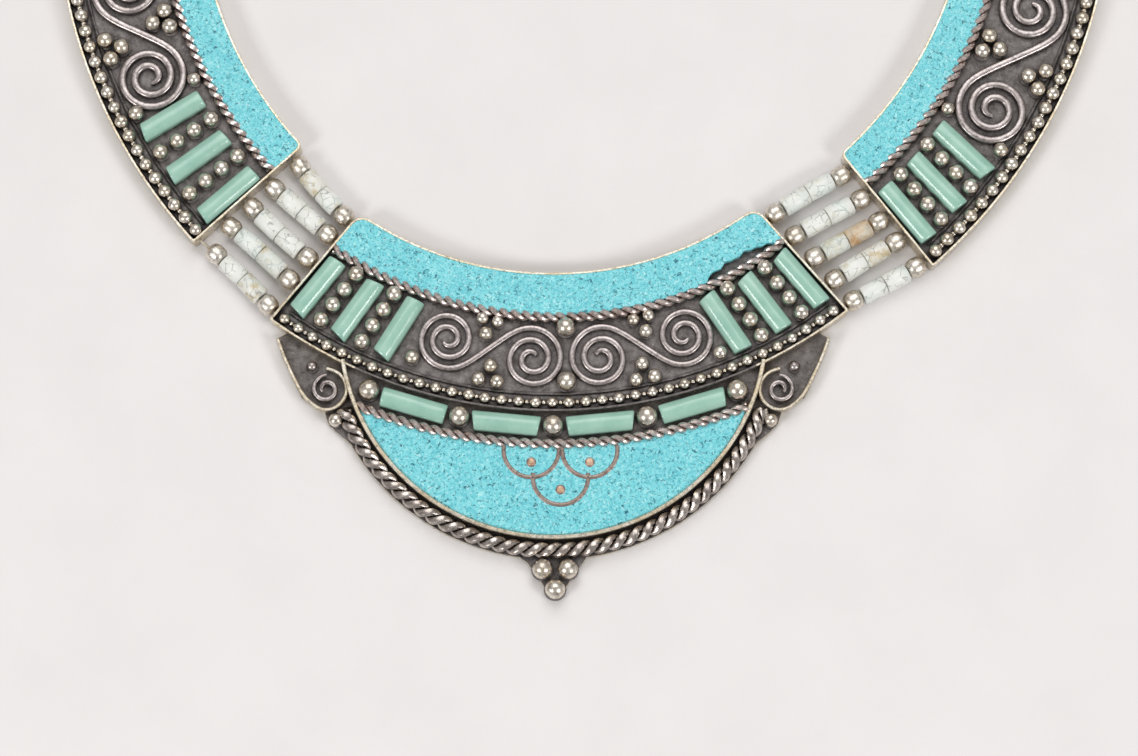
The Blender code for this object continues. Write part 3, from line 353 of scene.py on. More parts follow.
MATERIALS |= {
    "field": field_metal(),
    "turquoise": turquoise(),
    "seafoam": seafoam(),
    "howlite": howlite("howlite_white", (0.84, 0.85, 0.80), (0.66, 0.60, 0.45), 0.26),
    "howlite_tan": howlite("howlite_tan", (0.80, 0.79, 0.72), (0.62, 0.52, 0.33), 0.36),
    "howlite_orange": howlite("howlite_orange", (0.66, 0.50, 0.33), (0.50, 0.30, 0.14), 0.40),
    "thread": plain_thread(),
}


# Mesh building

class Form:
    """Vertices and faces of one piece, with a material for each face."""

    def __init__(self):
        self.verts, self.faces, self.slots, self.names = [], [], [], []

    def slot(self, name):
        if name not in self.names:
            self.names.append(name)
        return self.names.index(name)

    def add(self, verts, faces, look):
        base = len(self.verts)
        self.verts += [tuple(v) for v in verts]
        self.faces += [tuple(base + i for i in face) for face in faces]
        self.slots += [self.slot(look)] * len(faces)

    def piece(self, name, nodes=(), sharp=35):
        mesh = bpy.data.meshes.new(name)
        mesh.from_pydata(self.verts, [], self.faces)
        mesh.transform(Matrix.Translation(ORIGIN))
        for look in self.names:
            mesh.materials.append(MATERIALS[look])
        mesh.polygons.foreach_set("material_index", self.slots)
        mesh.shade_smooth()
        mesh.set_sharp_from_angle(angle=radians(sharp))
        mesh.update()
        item = bpy.data.objects.new(name, mesh)
        bpy.context.scene.collection.objects.link(item)
        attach(item, "root")
        if nodes:
            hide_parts(*nodes)


def flat3(point, height=0.0):
    return Vector((point[0], point[1], height))


def tangent(path, index):
    before, after = path[max(index - 1, 0)], path[min(index + 1, len(path) - 1)]
    return (after - before).normalized()


def circle_steps(count, shift=0.0):
    """Cosine and sine at equal steps round a circle."""
    return [(cos(angle), sin(angle)) for angle in (2 * pi * (i + shift) / count for i in range(count))]


def bridge(rings, sides, closed=False):
    """Quads between rings of vertices."""
    faces = []
    for i in range(rings if closed else rings - 1):
        low, high = i * sides, (i + 1) % rings * sides
        for k in range(sides):
            after = (k + 1) % sides
            faces.append((low + k, low + after, high + after, high + k))
    return faces


def enclose(form, verts, sides, look, turned_over=False):
    """Quads between rings of vertices, with a face over each end."""
    faces = bridge(len(verts) // sides, sides)
    faces.append(tuple(reversed(range(sides))))
    faces.append(tuple(range(len(verts) - sides, len(verts))))
    if turned_over:
        faces = [face[::-1] for face in faces]
    form.add(verts, faces, look)


def blunt(value, power):
    return abs(value) ** power * (1 if value > 0 else -1)


def tube(form, path, radius, look, sides, squash=1.0, power=1.0):
    """A wire along points, round or flattened; its radius may be a list."""
    verts = []
    for i, point in enumerate(path):
        along = tangent(path, i)
        side = Vector((-along.y, along.x, 0)).normalized()
        up = along.cross(side)
        size = radius[i] if isinstance(radius, list) else radius
        for c, s in circle_steps(sides):
            wide, high = blunt(c, power), blunt(s, power)
            verts.append(point + side * (wide * size) + up * (high * size * squash))
    enclose(form, verts, sides, look)


def strip(form, path, section, look):
    """A section of (offset to the left, height) carried along flat points."""
    verts = []
    for i, point in enumerate(path):
        along = tangent(path, i)
        side = Vector((-along.y, along.x)).normalized()
        verts += [flat3(point + side * offset, height) for offset, height in section]
    enclose(form, verts, len(section), look)


def ball(form, centre, radius, look, squash, segments=18, rings=12):
    verts = [centre + Vector((0, 0, -radius * squash))]
    for i in range(1, rings):
        angle = pi * i / rings - pi / 2
        for c, s in circle_steps(segments):
            verts.append(centre + Vector((c * cos(angle), s * cos(angle), sin(angle) * squash)) * radius)
    verts.append(centre + Vector((0, 0, radius * squash)))
    top = len(verts) - 1
    faces = []
    for k in range(segments):
        after = (k + 1) % segments
        faces.append((0, 1 + after, 1 + k))
        faces.append((top, top - segments + k, top - segments + after))
        for i in range(rings - 2):
            base = 1 + i * segments
            faces.append((base + k, base + after, base + segments + after, base + segments + k))
    form.add(verts, faces, look)


def turned(form, start, heading, profile, look, segments, wobble=0.0):
    """A solid turned round a flat heading: rows of (distance, radius)."""
    side = Vector((-heading.y, heading.x, 0))
    verts = []
    for distance, radius in profile:
        spot = start + heading * distance
        for k, (c, s) in enumerate(circle_steps(segments)):
            uneven = 1 + wobble * noise.noise(Vector((spot.x * 900, k * 0.9, spot.y * 900)))
            verts.append(spot + side * (c * radius * uneven) + Vector((0, 0, s * radius * uneven)))
    enclose(form, verts, segments, look)


def hoop(form, place, length, width, wire, steps, shift, look):
    """A closed loop of round wire in the XY plane of a matrix, drawn out along its X."""
    verts = []
    for c, s in circle_steps(steps, shift):
        straight = (length - width) / 2 * (1 if c > 0 else -1)
        for out, up in circle_steps(WIRE_SIDES):
            reach = width / 2 - wire + wire * out
            verts.append(place @ Vector((c * reach + straight, s * reach, wire * up)))
    form.add(verts, [face[::-1] for face in bridge(steps, WIRE_SIDES, True)], look)


def facing(centre, heading, tilt):
    """Matrix at a point, its X along a flat heading, leaning about that."""
    lean = Matrix.Rotation(radians(tilt), 4, "X")
    return Matrix.Translation(centre) @ Matrix.Rotation(atan2(heading.y, heading.x), 4, "Z") @ lean


def area(points):
    return sum(a.x * b.y - b.x * a.y for a, b in zip(points, points[1:] + points[:1])) / 2


def cap_faces(points):
    """Triangles over a flat outline, all of them facing up."""
    faces = []
    for a, b, c in geometry.tessellate_polygon([points]):
        up = (points[b] - points[a]).cross(points[c] - points[a]).z > 0
        faces.append((a, b, c) if up else (a, c, b))
    return faces


def loft(form, loops, looks):
    """Closed loops of (points, height), joined and capped; a look for each band and the last cap."""
    turned_over = area(loops[0][0]) < 0
    verts = []
    count = len(loops[0][0])
    for points, height in loops:
        ordered = points[::-1] if turned_over else points
        verts += [flat3(point, height) for point in ordered]
    for i, look in enumerate(looks[:-1]):
        ring = verts[i * count:(i + 2) * count]
        form.add(ring, bridge(2, count), look)
    bottom, top = verts[:count], verts[-count:]
    form.add(bottom, [face[::-1] for face in cap_faces(bottom)], looks[0])
    form.add(top, cap_faces(top), looks[-1])


def inset(points, distance):
    """Outline moved inwards along its own normals."""
    sign = 1 if area(points) > 0 else -1
    moved = []
    count = len(points)
    for i, point in enumerate(points):
        before = (point - points[i - 1]).normalized()
        after = (points[(i + 1) % count] - point).normalized()
        along = before + after
        along = along.normalized() if along.length > 0.1 else after
        reach = distance / max(0.5, along.dot(after))
        moved.append(point + Vector((-along.y, along.x)) * reach * sign)
    return moved


# Layout

class Panel:
    def __init__(self, middle, side, sizes, trim, flare):
        self.centre = Vector((0, 0))
        self.middle, self.side = middle, side
        self.inner, self.width, self.half_span = sizes
        self.inlay_width, self.bead, self.corner, self.pitch = trim
        self.end_flare, self.flare_gain = flare
        self.outer = self.inner + self.width
        self.mid = self.inner + self.width / 2
        self.rope = self.inner + self.inlay_width
        self.border = self.outer - RIM - CLEARANCE - self.bead / 2

    def field(self, share):
        return self.rope + share * (self.border - self.rope)

    def angle(self, station):
        return radians(self.middle + self.side * station)

    def outward(self, station):
        return Vector((sin(self.angle(station)), -cos(self.angle(station))))

    def along(self, station):
        return self.side * Vector((cos(self.angle(station)), sin(self.angle(station))))

    def place(self, station, radius, shift=0.0):
        return self.centre + self.outward(station) * radius + Vector((shift, 0))

    def end_station(self, end, radius, inset_by=0.0):
        flare = (radius - self.mid) * tan(radians(self.end_flare)) - inset_by
        return end * (self.half_span + degrees(flare / radius))

    def lean_axis(self, station):
        flare = self.end_flare + self.flare_gain * (1 - abs(station) / self.half_span)
        lean = radians(flare) * (1 if station > 0 else -1)
        return self.outward(station) * cos(lean) + self.along(station) * sin(lean)

    def arc(self, radius, start, end, steps, shift=0.0):
        points = []
        for i in range(steps + 1):
            station = start + (end - start) * i / steps
            slide = shift * max(0, 1 - (station / self.half_span) ** 2)
            points.append(self.place(station, radius, slide))
        return points


def make_panels():
    band = Panel(BAND_TURN, 1, BAND, BAND_TRIM, BAND_FLARE)
    sides = {}
    for name, (shift, turn, trim, flare) in SIDE_POSES.items():
        side = 1 if name == "right" else -1
        end = side * band.half_span
        start = band.place(end, band.mid) + band.along(end) * side * STRING_GAP
        start += band.outward(end) * shift
        middle = degrees(band.angle(end)) + side * (turn + SIDE[2])
        panel = Panel(middle, side, SIDE, trim, flare)
        panel.centre = start - panel.outward(-SIDE[2]) * panel.mid
        sides[name] = panel
    return band, sides


def circle_points(centre, radius, start, end, steps):
    angles = [radians(start + (end - start) * i / steps) for i in range(steps + 1)]
    return [Vector((centre[0] + radius * sin(a), centre[1] - radius * cos(a))) for a in angles]


def rounded(before, corner, after, reach):
    first = corner + (before - corner).normalized() * reach
    last = corner + (after - corner).normalized() * reach
    points = []
    for i in range(CORNER_STEPS + 1):
        t = i / CORNER_STEPS
        points.append(first * (1 - t) ** 2 + corner * 2 * t * (1 - t) + last * t * t)
    return points


def sector(panel, inner, outer, inset_by, inner_corner, outer_corner, steps=64):
    """Outline of a panel between two radii, with the same number of points each time."""
    points = []
    for end in (-1, 1):
        low, high = [panel.end_station(end, radius, inset_by) for radius in (inner, outer)]
        low_point, high_point = panel.place(low, inner), panel.place(high, outer)
        near, far = panel.place(low - end, inner), panel.place(high - end, outer)
        if end < 0:
            points += rounded(near, low_point, high_point, inner_corner)
            points += rounded(low_point, high_point, far, outer_corner)
            start, radius, corner = high, outer, outer_corner
        else:
            points += rounded(far, high_point, low_point, outer_corner)
            points += rounded(high_point, low_point, near, inner_corner)
            start, radius, corner = low, inner, inner_corner
        ease = end * degrees(corner / radius)
        stop = panel.end_station(-end, radius, inset_by) + ease
        points += panel.arc(radius, start - ease, stop, steps)[1:-1]
    return points


def bar_stations(panel, radius):
    first = panel.half_span - degrees((RIM + CLEARANCE * 1.2 + BAR_WIDTH / 2) / radius)
    pitch = degrees(panel.pitch / radius)
    return [end * (first - pitch * i) for end in (-1, 1) for i in range(3)]


def row_spots(panel, bars, rows, shift=0.0):
    spots = []
    stations = bar_stations(panel, panel.field(bars[0]))
    step = rows[1] * (panel.border - panel.rope)
    for group in (stations[:3], stations[3:]):
        for first, second in zip(group, group[1:]):
            station = (first + second) / 2
            middle = panel.place(station, panel.field(rows[0]), shift)
            for j in range(4):
                spots.append((middle + panel.lean_axis(station) * (j - 1.5) * step, ROW_GRAIN))
    return spots


# Trim

def path_length(path):
    return sum((b - a).length for a, b in zip(path, path[1:]))


def walk(path, count):
    """Points at equal distances along a path, each with its heading and distance."""
    lengths = [0.0]
    for a, b in zip(path, path[1:]):
        lengths.append(lengths[-1] + (b - a).length)
    index = 0
    for i in range(count + 1):
        distance = lengths[-1] * i / count
        while index < len(path) - 2 and lengths[index + 1] < distance:
            index += 1
        first, second = path[index], path[index + 1]
        share = (distance - lengths[index]) / (lengths[index + 1] - lengths[index])
        yield first.lerp(second, share), (second - first).normalized(), distance


def rope_wire(form, path, height, radius, pitch, look, turn, flat=1.0):
    """Wires twisted round each other along flat points."""
    count = round(path_length(path) / pitch * ROPE_STEPS)
    offset = radius * STRAND_OFFSET
    for strand in range(ROPE_STRANDS):
        points = []
        for spot, heading, distance in walk(path, count):
            phase = turn * 2 * pi * distance / pitch + 2 * pi * strand / ROPE_STRANDS
            place = spot + Vector((-heading.y, heading.x)) * (offset * cos(phase))
            points.append(flat3(place, height + offset * sin(phase) * flat))
        tube(form, points, radius * STRAND_RADIUS, look, 9, flat)


def grain(form, spot, radius, floor, look="silver"):
    """A slightly flattened ball in a small pool of solder."""
    radius *= 1.07 * rng.uniform(0.98, 1.02)
    squash = 0.92 + rng.uniform(-0.03, 0.03)
    ball(form, flat3(spot, floor + radius * 0.82), radius, look, squash)
    foot = circle_points(spot, radius * 1.12, 0, 342, 19)
    loft(form, [(foot, floor - EDGE), (inset(foot, radius * 0.06), floor + radius * 0.10),
                (inset(foot, radius * 0.30), floor + radius * 0.20)], ["field", "field", look])


def spiral_points(centre, outer, start, turns, sense, eye=0.17):
    """Points from a spiral's outer turn to its eye."""
    points = []
    count = round(turns * SPIRAL_STEPS)
    for i in range(count + 1):
        share = i / count
        radius = outer * (1 - share * (1 - eye))
        angle = start + sense * share * turns * 2 * pi
        points.append(centre + Vector((cos(angle), sin(angle))) * radius)
    return points


def scroll_path(first, second, near, far, sense, turns):
    """Two spirals joined by the line that crosses between them."""
    gap = second - first
    heading = atan2(gap.y, gap.x)
    opening = sense * (pi / 2 - asin((near + far) / gap.length))
    one = spiral_points(first, near, heading + opening, turns, sense)
    two = spiral_points(second, far, heading + pi + opening, turns, sense)
    middle = [one[0].lerp(two[0], i / 8) for i in range(1, 8)]
    return one[::-1] + middle + two


def soften(points, passes):
    """Ease the corners of a path."""
    for _ in range(passes):
        eased = [(a + b * 2 + c) / 4 for a, b, c in zip(points, points[1:], points[2:])]
        points = [points[0]] + eased + [points[-1]]
    return points


def scroll(form, points, floor, wire=SCROLL_WIRE):
    """A flattened wire laid as a scroll, its ends drawn thinner."""
    sizes = []
    for i, point in enumerate(points):
        end = min(i, len(points) - 1 - i) / 10
        thin = 0.55 + 0.45 * min(1, end)
        uneven = 1 + 0.05 * noise.noise(Vector((point.x * 500, point.y * 500, 0)))
        sizes.append(wire / 2 * thin * uneven)
    tube(form, [flat3(p, floor + wire * 0.36) for p in points], sizes, "wire", 14, 0.82, 0.72)


def border_beads(form, path, radius, height, between):
    """A row of uneven beads, with a smaller one in each gap."""
    count = round(path_length(path) / BEAD_PITCH)
    for i, (spot, _, _) in enumerate(walk(path, 2 * count)):
        if i % 2 == 0:
            size = radius * rng.uniform(0.95, 1.04)
            jitter = Vector((rng.uniform(-1, 1), rng.uniform(-1, 1))) * BEAD_JITTER
            ball(form, flat3(spot + jitter, height), size, "silver", 0.92, 16, 10)
        else:
            ball(form, flat3(spot, height - radius * 0.25), between, "silver", 0.9, 10, 6)


def tray(form, panel):
    """Walled tray of a panel with rounded rims and a dark floor."""
    loops = []
    for step, height in TRAY_WALL:
        corners = max(panel.corner - step, 0.0006), max(RIM - step / 2, 0.0003)
        loops.append((sector(panel, panel.inner + step, panel.outer - step, step, *corners), height))
    loft(form, loops, ["rim"] * 5 + ["field"] * 2)


def paint_rim_shade(form, inside):
    """Paint shade on the rim faces that a test picks, by giving them the field's dark look."""
    rim, field = form.slot("rim"), form.slot("field")
    for i, face in enumerate(form.faces):
        middle = sum((Vector(form.verts[k]) for k in face), Vector()) / len(face)
        if form.slots[i] == rim and inside(middle):
            form.slots[i] = field


def wall_section(half, low, high, soft=WALL_EDGE, flare=0.0):
    """Section of a wall with a softened top."""
    return [(half + flare, low), (half, high - soft), (half - soft, high), (-half + soft, high),
            (-half, high - soft), (-half, low)]


def border_strip(form, panel):
    """Ledge and beaded row along a panel's outer edge."""
    edge = panel.half_span - degrees((RIM + panel.bead / 2) / panel.border)
    path = panel.arc(panel.border, -edge, edge, 90)
    half, high = panel.bead / 2 + BORDER_EDGE, FLOOR + BORDER_RISE
    strip(form, path, wall_section(half, FLOOR - LET_IN, high, EDGE), "field")
    ledge = panel.arc(panel.border - half - LEDGE_GAP, -edge, edge, 90)
    tube(form, [flat3(p, FLOOR + EDGE) for p in ledge], LEDGE_RADIUS, "field", 8)
    border_beads(form, path, panel.bead * 0.56, high + panel.bead * 0.28, panel.bead * 0.25)


def bar(name, middle, axis, length, node):
    """A baguette stone: flat on top, with curved bevels and slightly chipped ends."""
    form = Form()
    half, across = length / 2, Vector((-axis.y, axis.x))
    chips = [rng.uniform(0.0, BAR_CHIP), rng.uniform(0.0, BAR_CHIP)]
    stations = [(-share, size) for share, size in BAR_HALF] + [(0, 1)] + BAR_HALF[::-1]
    section = [(-offset, rise) for offset, rise in BAR_HALF_SECTION] + BAR_HALF_SECTION[::-1]
    verts = []
    for share, size in stations:
        for offset, rise in section:
            skew = chips[0 if share < 0 else 1] * offset * (abs(share) > 0.9)
            spot = middle + axis * (share * half + skew * share) + across * (offset * BAR_WIDTH / 2 * size)
            bend = 1 + 0.03 * noise.noise(Vector((spot.x * 300, spot.y * 300, rise)))
            verts.append(flat3(spot, FLOOR + 0.00005 + rise * BAR_RISE * size * bend))
    enclose(form, verts, len(section), "seafoam", turned_over=True)
    form.piece(name, (node,), 30)


def slab(form, outline, top=INLAY_TOP):
    """A flat ground inlay with a soft edge."""
    loops = [(outline, FLOOR - 2 * LET_IN), (outline, top - 0.0002), (inset(outline, 0.00005), top - 0.00005),
             (inset(outline, 0.0002), top)]
    loft(form, loops, ["turquoise"] * 4)


def panel_inlay(name, panel, node, bites=()):
    """A panel's inlay, uneven along the rope and bitten where it has worn away."""
    inner, outer = panel.inner + RIM - EDGE, panel.rope - ROPE_RADIUS * 0.35
    outline = sector(panel, inner, outer, RIM - EDGE, max(panel.corner - RIM, 0.0012), 0.0004, 150)
    shaped = []
    for point in outline:
        offset = point - panel.centre
        reach = offset.length
        if reach > (inner + outer) / 2:
            reach += 0.00022 * noise.noise(Vector((point.x * 700, point.y * 700, 3.0)))
            station = panel.side * (degrees(atan2(offset.x, -offset.y)) - panel.middle)
            for start, stop, depth in bites:
                if start < station < stop:
                    share = sin(pi * (station - start) / (stop - start)) ** 0.5
                    rough = 1 + 0.5 * noise.noise(Vector((point.x * 600, point.y * 600, 7.0)))
                    reach -= depth * share * rough
        shaped.append(panel.centre + offset.normalized() * reach)
    form = Form()
    slab(form, shaped, RIM_TOP - 0.00006)
    form.piece(name, (node,))


def make_trims(form, panel, spots, rope_shift=0.0):
    border_strip(form, panel)
    stop = panel.end_station(1, panel.rope) - degrees(RIM / panel.rope)
    path = panel.arc(panel.rope, -stop, stop, 120, rope_shift)
    rope_wire(form, path, FLOOR + ROPE_RADIUS * 1.02, ROPE_RADIUS, ROPE_PITCH, "rope", panel.side)
    for spot, radius in spots:
        grain(form, spot, radius, FLOOR)


def make_side(name, panel):
    form = Form()
    tray(form, panel)
    form.piece(name + "_tray", (name + "_panel",))
    radius = panel.field(SIDE_BARS[0])
    stations = bar_stations(panel, radius)
    inner_bar = abs(stations[2])
    room = radians(inner_bar) * radius - BAR_WIDTH / 2
    reach_share, spiral_share = SIDE_SCROLLS[name]
    reach, spiral = degrees(reach_share * room / radius), spiral_share * room * SIDE_SCROLL_SIZE
    spots = row_spots(panel, SIDE_BARS, SIDE_ROWS)
    for share, place, size in SIDE_SINGLES:
        station = reach + share * (inner_bar - reach)
        spots += [(panel.place(end * station, panel.field(place)), size * SMALL_GRAIN) for end in (-1, 1)]
    spots += [(panel.place(s, panel.field(place)), size * SMALL_GRAIN) for s, place, size in SIDE_CLUSTERS]
    form = Form()
    make_trims(form, panel, spots)
    near = panel.place(-reach, panel.field(SIDE_SCROLL_PLACES[0]))
    far = panel.place(reach, panel.field(SIDE_SCROLL_PLACES[1]))
    path = scroll_path(near, far, spiral, spiral, panel.side, SIDE_TURNS)
    scroll(form, soften(path, 6), FLOOR, SIDE_SCROLL_WIRE)
    wall = panel.place(panel.half_span, panel.mid)
    heading = panel.along(panel.half_span)
    ring(form, flat3(wall + heading * LUG_REACH, CHAIN_HEIGHT), heading, "silver")
    form.piece(name + "_trim")
    panel_inlay(name + "_stone", panel, name + "_inlay")
    length = SIDE_BARS[1] * (panel.border - panel.rope)
    for number, station in enumerate(stations, 1):
        spot, axis = panel.place(station, radius), panel.lean_axis(station)
        bar(f"{name}_baguette_{number}", spot, axis, length, f"{name}_bar_{number}")


def ring(form, centre, heading, look):
    """An upright ring in the plane of a heading and +Z."""
    hoop(form, facing(centre, heading, 90), 2 * LUG_RADIUS, 2 * LUG_RADIUS, LUG_WIRE, RING_STEPS, 0.0, look)


def drop_meet(radius, other):
    """Angle at which the drop's circle crosses one round the band's centre."""
    height = (other ** 2 - radius ** 2 - DROP_REACH ** 2) / (2 * DROP_REACH)
    return degrees(pi / 2 + asin(-height / radius))


def half_moon(radius, inner, low_steps=110, high_steps=80):
    """Outline between the drop's circle and an arc of the band."""
    stop = drop_meet(radius, inner)
    lower = drop_arc(radius, -stop, stop, low_steps)
    edge = degrees(atan2(lower[-1].x, -lower[-1].y))
    return lower + circle_points((0, 0), inner, edge, -edge, high_steps)[1:-1]


def drop_arc(radius, start, end, steps):
    return circle_points((0, -DROP_REACH), radius, start, end, steps)


def drop_point(angle, radius):
    return drop_arc(radius, angle, angle, 1)[0]


def tip_place(offset, share):
    """A place on the tip: offset from its middle, share of the way down to its point."""
    return Vector((TIP_SHIFT + offset, -DROP_REACH - PLATE_RADIUS - share * TIP_DROP))


def plate_outline(band):
    """Back plate: a circle with a pointed tip, ending in an ear at each side."""
    tip = degrees(asin(TIP_HALF_WIDTH / PLATE_RADIUS))
    start = EAR_OUTLINE[0][0]
    left, right = [drop_arc(PLATE_RADIUS, *span, 50) for span in ((-start, -tip), (tip, start))]
    ears = [[drop_point(side * a, PLATE_RADIUS * share) for a, share in EAR_OUTLINE] for side in (-1, 1)]
    half = TIP_OUTLINE + [(0, 1)]
    shares = [(-x, y) for x, y in half] + half[-2::-1]
    point = [tip_place(x * TIP_HALF_WIDTH, y) for x, y in shares]
    reach = degrees(atan2(ears[1][-1].x, -ears[1][-1].y)) - 1
    top = circle_points((0, 0), band.outer - 2 * RIM, reach, -reach, 40)
    return ears[0][::-1] + left[1:] + point + right[:-1] + ears[1] + top


def make_ears(form):
    """Teardrop cells beside the drop: a wall along the edge that curls round a spiral."""
    for side in (-1, 1):
        eye = drop_point(side * EAR_ANGLE, PLATE_RADIUS * 1.005)
        wall = EAR_OUTLINE[:3:-1]
        edge = [drop_point(side * (angle - 0.5), PLATE_RADIUS * (share - 0.012)) for angle, share in wall]
        start = atan2(edge[-1].y - eye.y, edge[-1].x - eye.x)
        path = []
        for a, b in zip(edge, edge[1:]):
            path += [a.lerp(b, t / 5) for t in range(5)]
        path.append(edge[-1])
        for i in range(1, 22):
            share = i / 21
            angle = start - side * share * EAR_CURL_TURN
            path.append(eye + Vector((cos(angle), sin(angle))) * (EAR_CURL - EAR_CURL_CLOSING * share))
        strip(form, soften(path, 8), wall_section(EAR_HALF_WALL, PLATE_TOP - LET_IN, EAR_TOP), "rim")
        inner = spiral_points(eye, EAR_SPIRAL, start - side * EAR_CURL_TURN, 1.35, -side, 0.3)
        scroll(form, inner, PLATE_TOP + 0.0006, EAR_SCROLL_WIRE)
        for angle, share, radius, rise, look in EAR_GRAINS:
            grain(form, drop_point(side * angle, PLATE_RADIUS * share), radius, PLATE_TOP + rise, look)


def make_drop(band, row, rope):
    form = Form()
    outline = plate_outline(band)
    loft(form, [(inset(outline, EDGE), PLATE_LIFT), (outline, PLATE_LIFT + EDGE), (outline, PLATE_TOP - EDGE),
                (inset(outline, EDGE), PLATE_TOP)], ["rim", "rim", "rim", "field"])
    block = half_moon(BEZEL_RADIUS - EDGE, band.outer - RIM / 2)
    loft(form, [(block, PLATE_TOP / 2), (block, FLOOR)], ["field", "field"])
    stop = drop_meet(BEZEL_RADIUS, band.outer) + 1.0
    bezel = drop_arc(BEZEL_RADIUS - BEZEL_WALL / 2 + EDGE, stop, -stop, 140)
    wall = wall_section(BEZEL_WALL / 2 + EDGE, PLATE_TOP - LET_IN, BEZEL_TOP, flare=0.00012)
    strip(form, bezel, wall, "rim")
    form.piece("drop_body")
    form = Form()
    make_ears(form)
    outer = drop_arc(OUTER_ROPE - 0.0003, -OUTER_ROPE_SPAN, OUTER_ROPE_SPAN, 160)
    height = PLATE_TOP + OUTER_ROPE_RADIUS * 0.80
    rope_wire(form, outer, height, OUTER_ROPE_RADIUS, OUTER_ROPE_PITCH, "outer_rope", -1, 0.8)
    last = drop_point(drop_meet(BEZEL_RADIUS - BEZEL_WALL, rope), BEZEL_RADIUS - BEZEL_WALL)
    span = degrees(atan2(last.x, -last.y))
    path = circle_points((0, 0), rope, -span, span, 90)
    rope_wire(form, path, FLOOR + ROPE_RADIUS * 1.25, ROPE_RADIUS, ROPE_PITCH, "rope", 1)
    pitch = degrees(DROP_PITCH / row)
    for number in range(-2, 3):
        grain(form, circle_points((0, 0), row, number * pitch, 0, 1)[0], DROP_GRAIN, FLOOR)
    for x, y in TIP_GRAINS:
        grain(form, tip_place(x * TIP_GRAIN, y), TIP_GRAIN, PLATE_TOP)
    form.piece("drop_trim")
    make_drop_inlay(rope)
    for number, share in enumerate((-1.5, -0.5, 0.5, 1.5), 1):
        spot = circle_points((0, 0), row, share * pitch, 0, 1)[0]
        heading = Vector((-spot.y, spot.x)).normalized()
        bar(f"drop_baguette_{number}", spot, heading, DROP_BAR_LENGTH, f"drop_bar_{number}")


def make_drop_inlay(rope):
    form = Form()
    slab(form, half_moon(BEZEL_RADIUS - BEZEL_WALL, rope + ROPE_RADIUS * 0.3, 150, 130))
    nodes = ["drop_inlay"] + [f"scallop_inlay_{number}" for number in (1, 2, 3)]
    form.piece("drop_stone", nodes)
    form = Form()
    upper, spread = -(rope + SCALLOP_DROP), SCALLOP_RADIUS + 0.0003
    for x, y in ((-spread, 0), (spread, 0), (0, -SCALLOP_RADIUS)):
        centre = Vector((SCALLOP_SHIFT + x, upper + y))
        arc = circle_points(centre, SCALLOP_RADIUS, -SCALLOP_SPAN, SCALLOP_SPAN, 52)
        tube(form, [flat3(p, INLAY_TOP - 0.00002) for p in arc], SCALLOP_WIRE, "copper", 10, 0.35)
        spot = centre + Vector((0, -SCALLOP_RADIUS * 0.45))
        ball(form, flat3(spot, INLAY_TOP), SCALLOP_DOT, "copper", 0.12, 18, 8)
        ball(form, flat3(spot, INLAY_TOP + 0.00004), SCALLOP_CORE, "dot", 0.16, 18, 8)
    form.piece("scallop_wires")


def make_centre(band):
    row = band.outer + DROP_ROW_GAP
    form = Form()
    tray(form, band)
    # Painted shade: the rim where the drop meets the band takes the field's dark look
    depth, bezel_gap, lowest = PAINTED_RIM_SHADE
    inner, side = band.outer - depth, BEZEL_RADIUS - bezel_gap
    paint_rim_shade(form, lambda p: p.length > inner and abs(p.x) < side and p.z > lowest)
    form.piece("centre_tray", ("centre_panel",))
    spots = row_spots(band, BAND_BARS, BAND_ROWS, TRIM_SHIFT / 3)
    for station, place, size in BAND_GRAINS:
        for end in (-1, 1):
            spots.append((band.place(end * station, band.field(place), TRIM_SHIFT), size * SMALL_GRAIN))
    spots += [(band.place(0, band.field(place), TRIM_SHIFT), MIDDLE_GRAIN) for place in BAND_MIDDLE_GRAINS]
    form = Form()
    make_trims(form, band, spots, TRIM_SHIFT)
    spiral = BAND_SPIRAL * (band.border - band.rope)
    for side in (-1, 1):
        first, second = [band.place(side * station, band.field(place), TRIM_SHIFT)
                         for station, place, _ in BAND_SCROLLS]
        near, far = [spiral * size for _, _, size in BAND_SCROLLS]
        scroll(form, soften(scroll_path(first, second, near, far, side, BAND_TURNS), 5), FLOOR)
    form.piece("centre_trim")
    panel_inlay("centre_stone", band, "centre_inlay", BARE_PATCHES)
    radius = band.field(BAND_BARS[0])
    length = BAND_BARS[1] * (band.border - band.rope)
    for number, station in enumerate(bar_stations(band, radius), 1):
        spot = band.place(station, radius, TRIM_SHIFT * (1 - abs(station) / band.half_span))
        axis = band.lean_axis(station)
        bar(f"centre_baguette_{number}", spot, axis, length, f"centre_bar_{number}")
    make_drop(band, row, row + DROP_ROPE_GAP)


# Strings and chain

def end_wall_point(panel, end, share):
    radius = panel.inner + share * panel.width
    return panel.place(panel.end_station(end, radius), radius)


def bead_profile(length, radius):
    half = [(0.0, 0.40), (0.03, 0.62), (0.10, 0.80), (0.22, 0.94), (0.36, 1.0)]
    return [(length * x, radius * y) for x, y in half + [(1 - x, y) for x, y in half[::-1]]]


def tube_profile(length, radius):
    soft = 0.00018
    return [(0, radius * 0.35), (0.00002, radius - soft), (soft, radius), (length * 0.5, radius * 1.01),
            (length - soft, radius), (length - 0.00002, radius - soft), (length, radius * 0.35)]


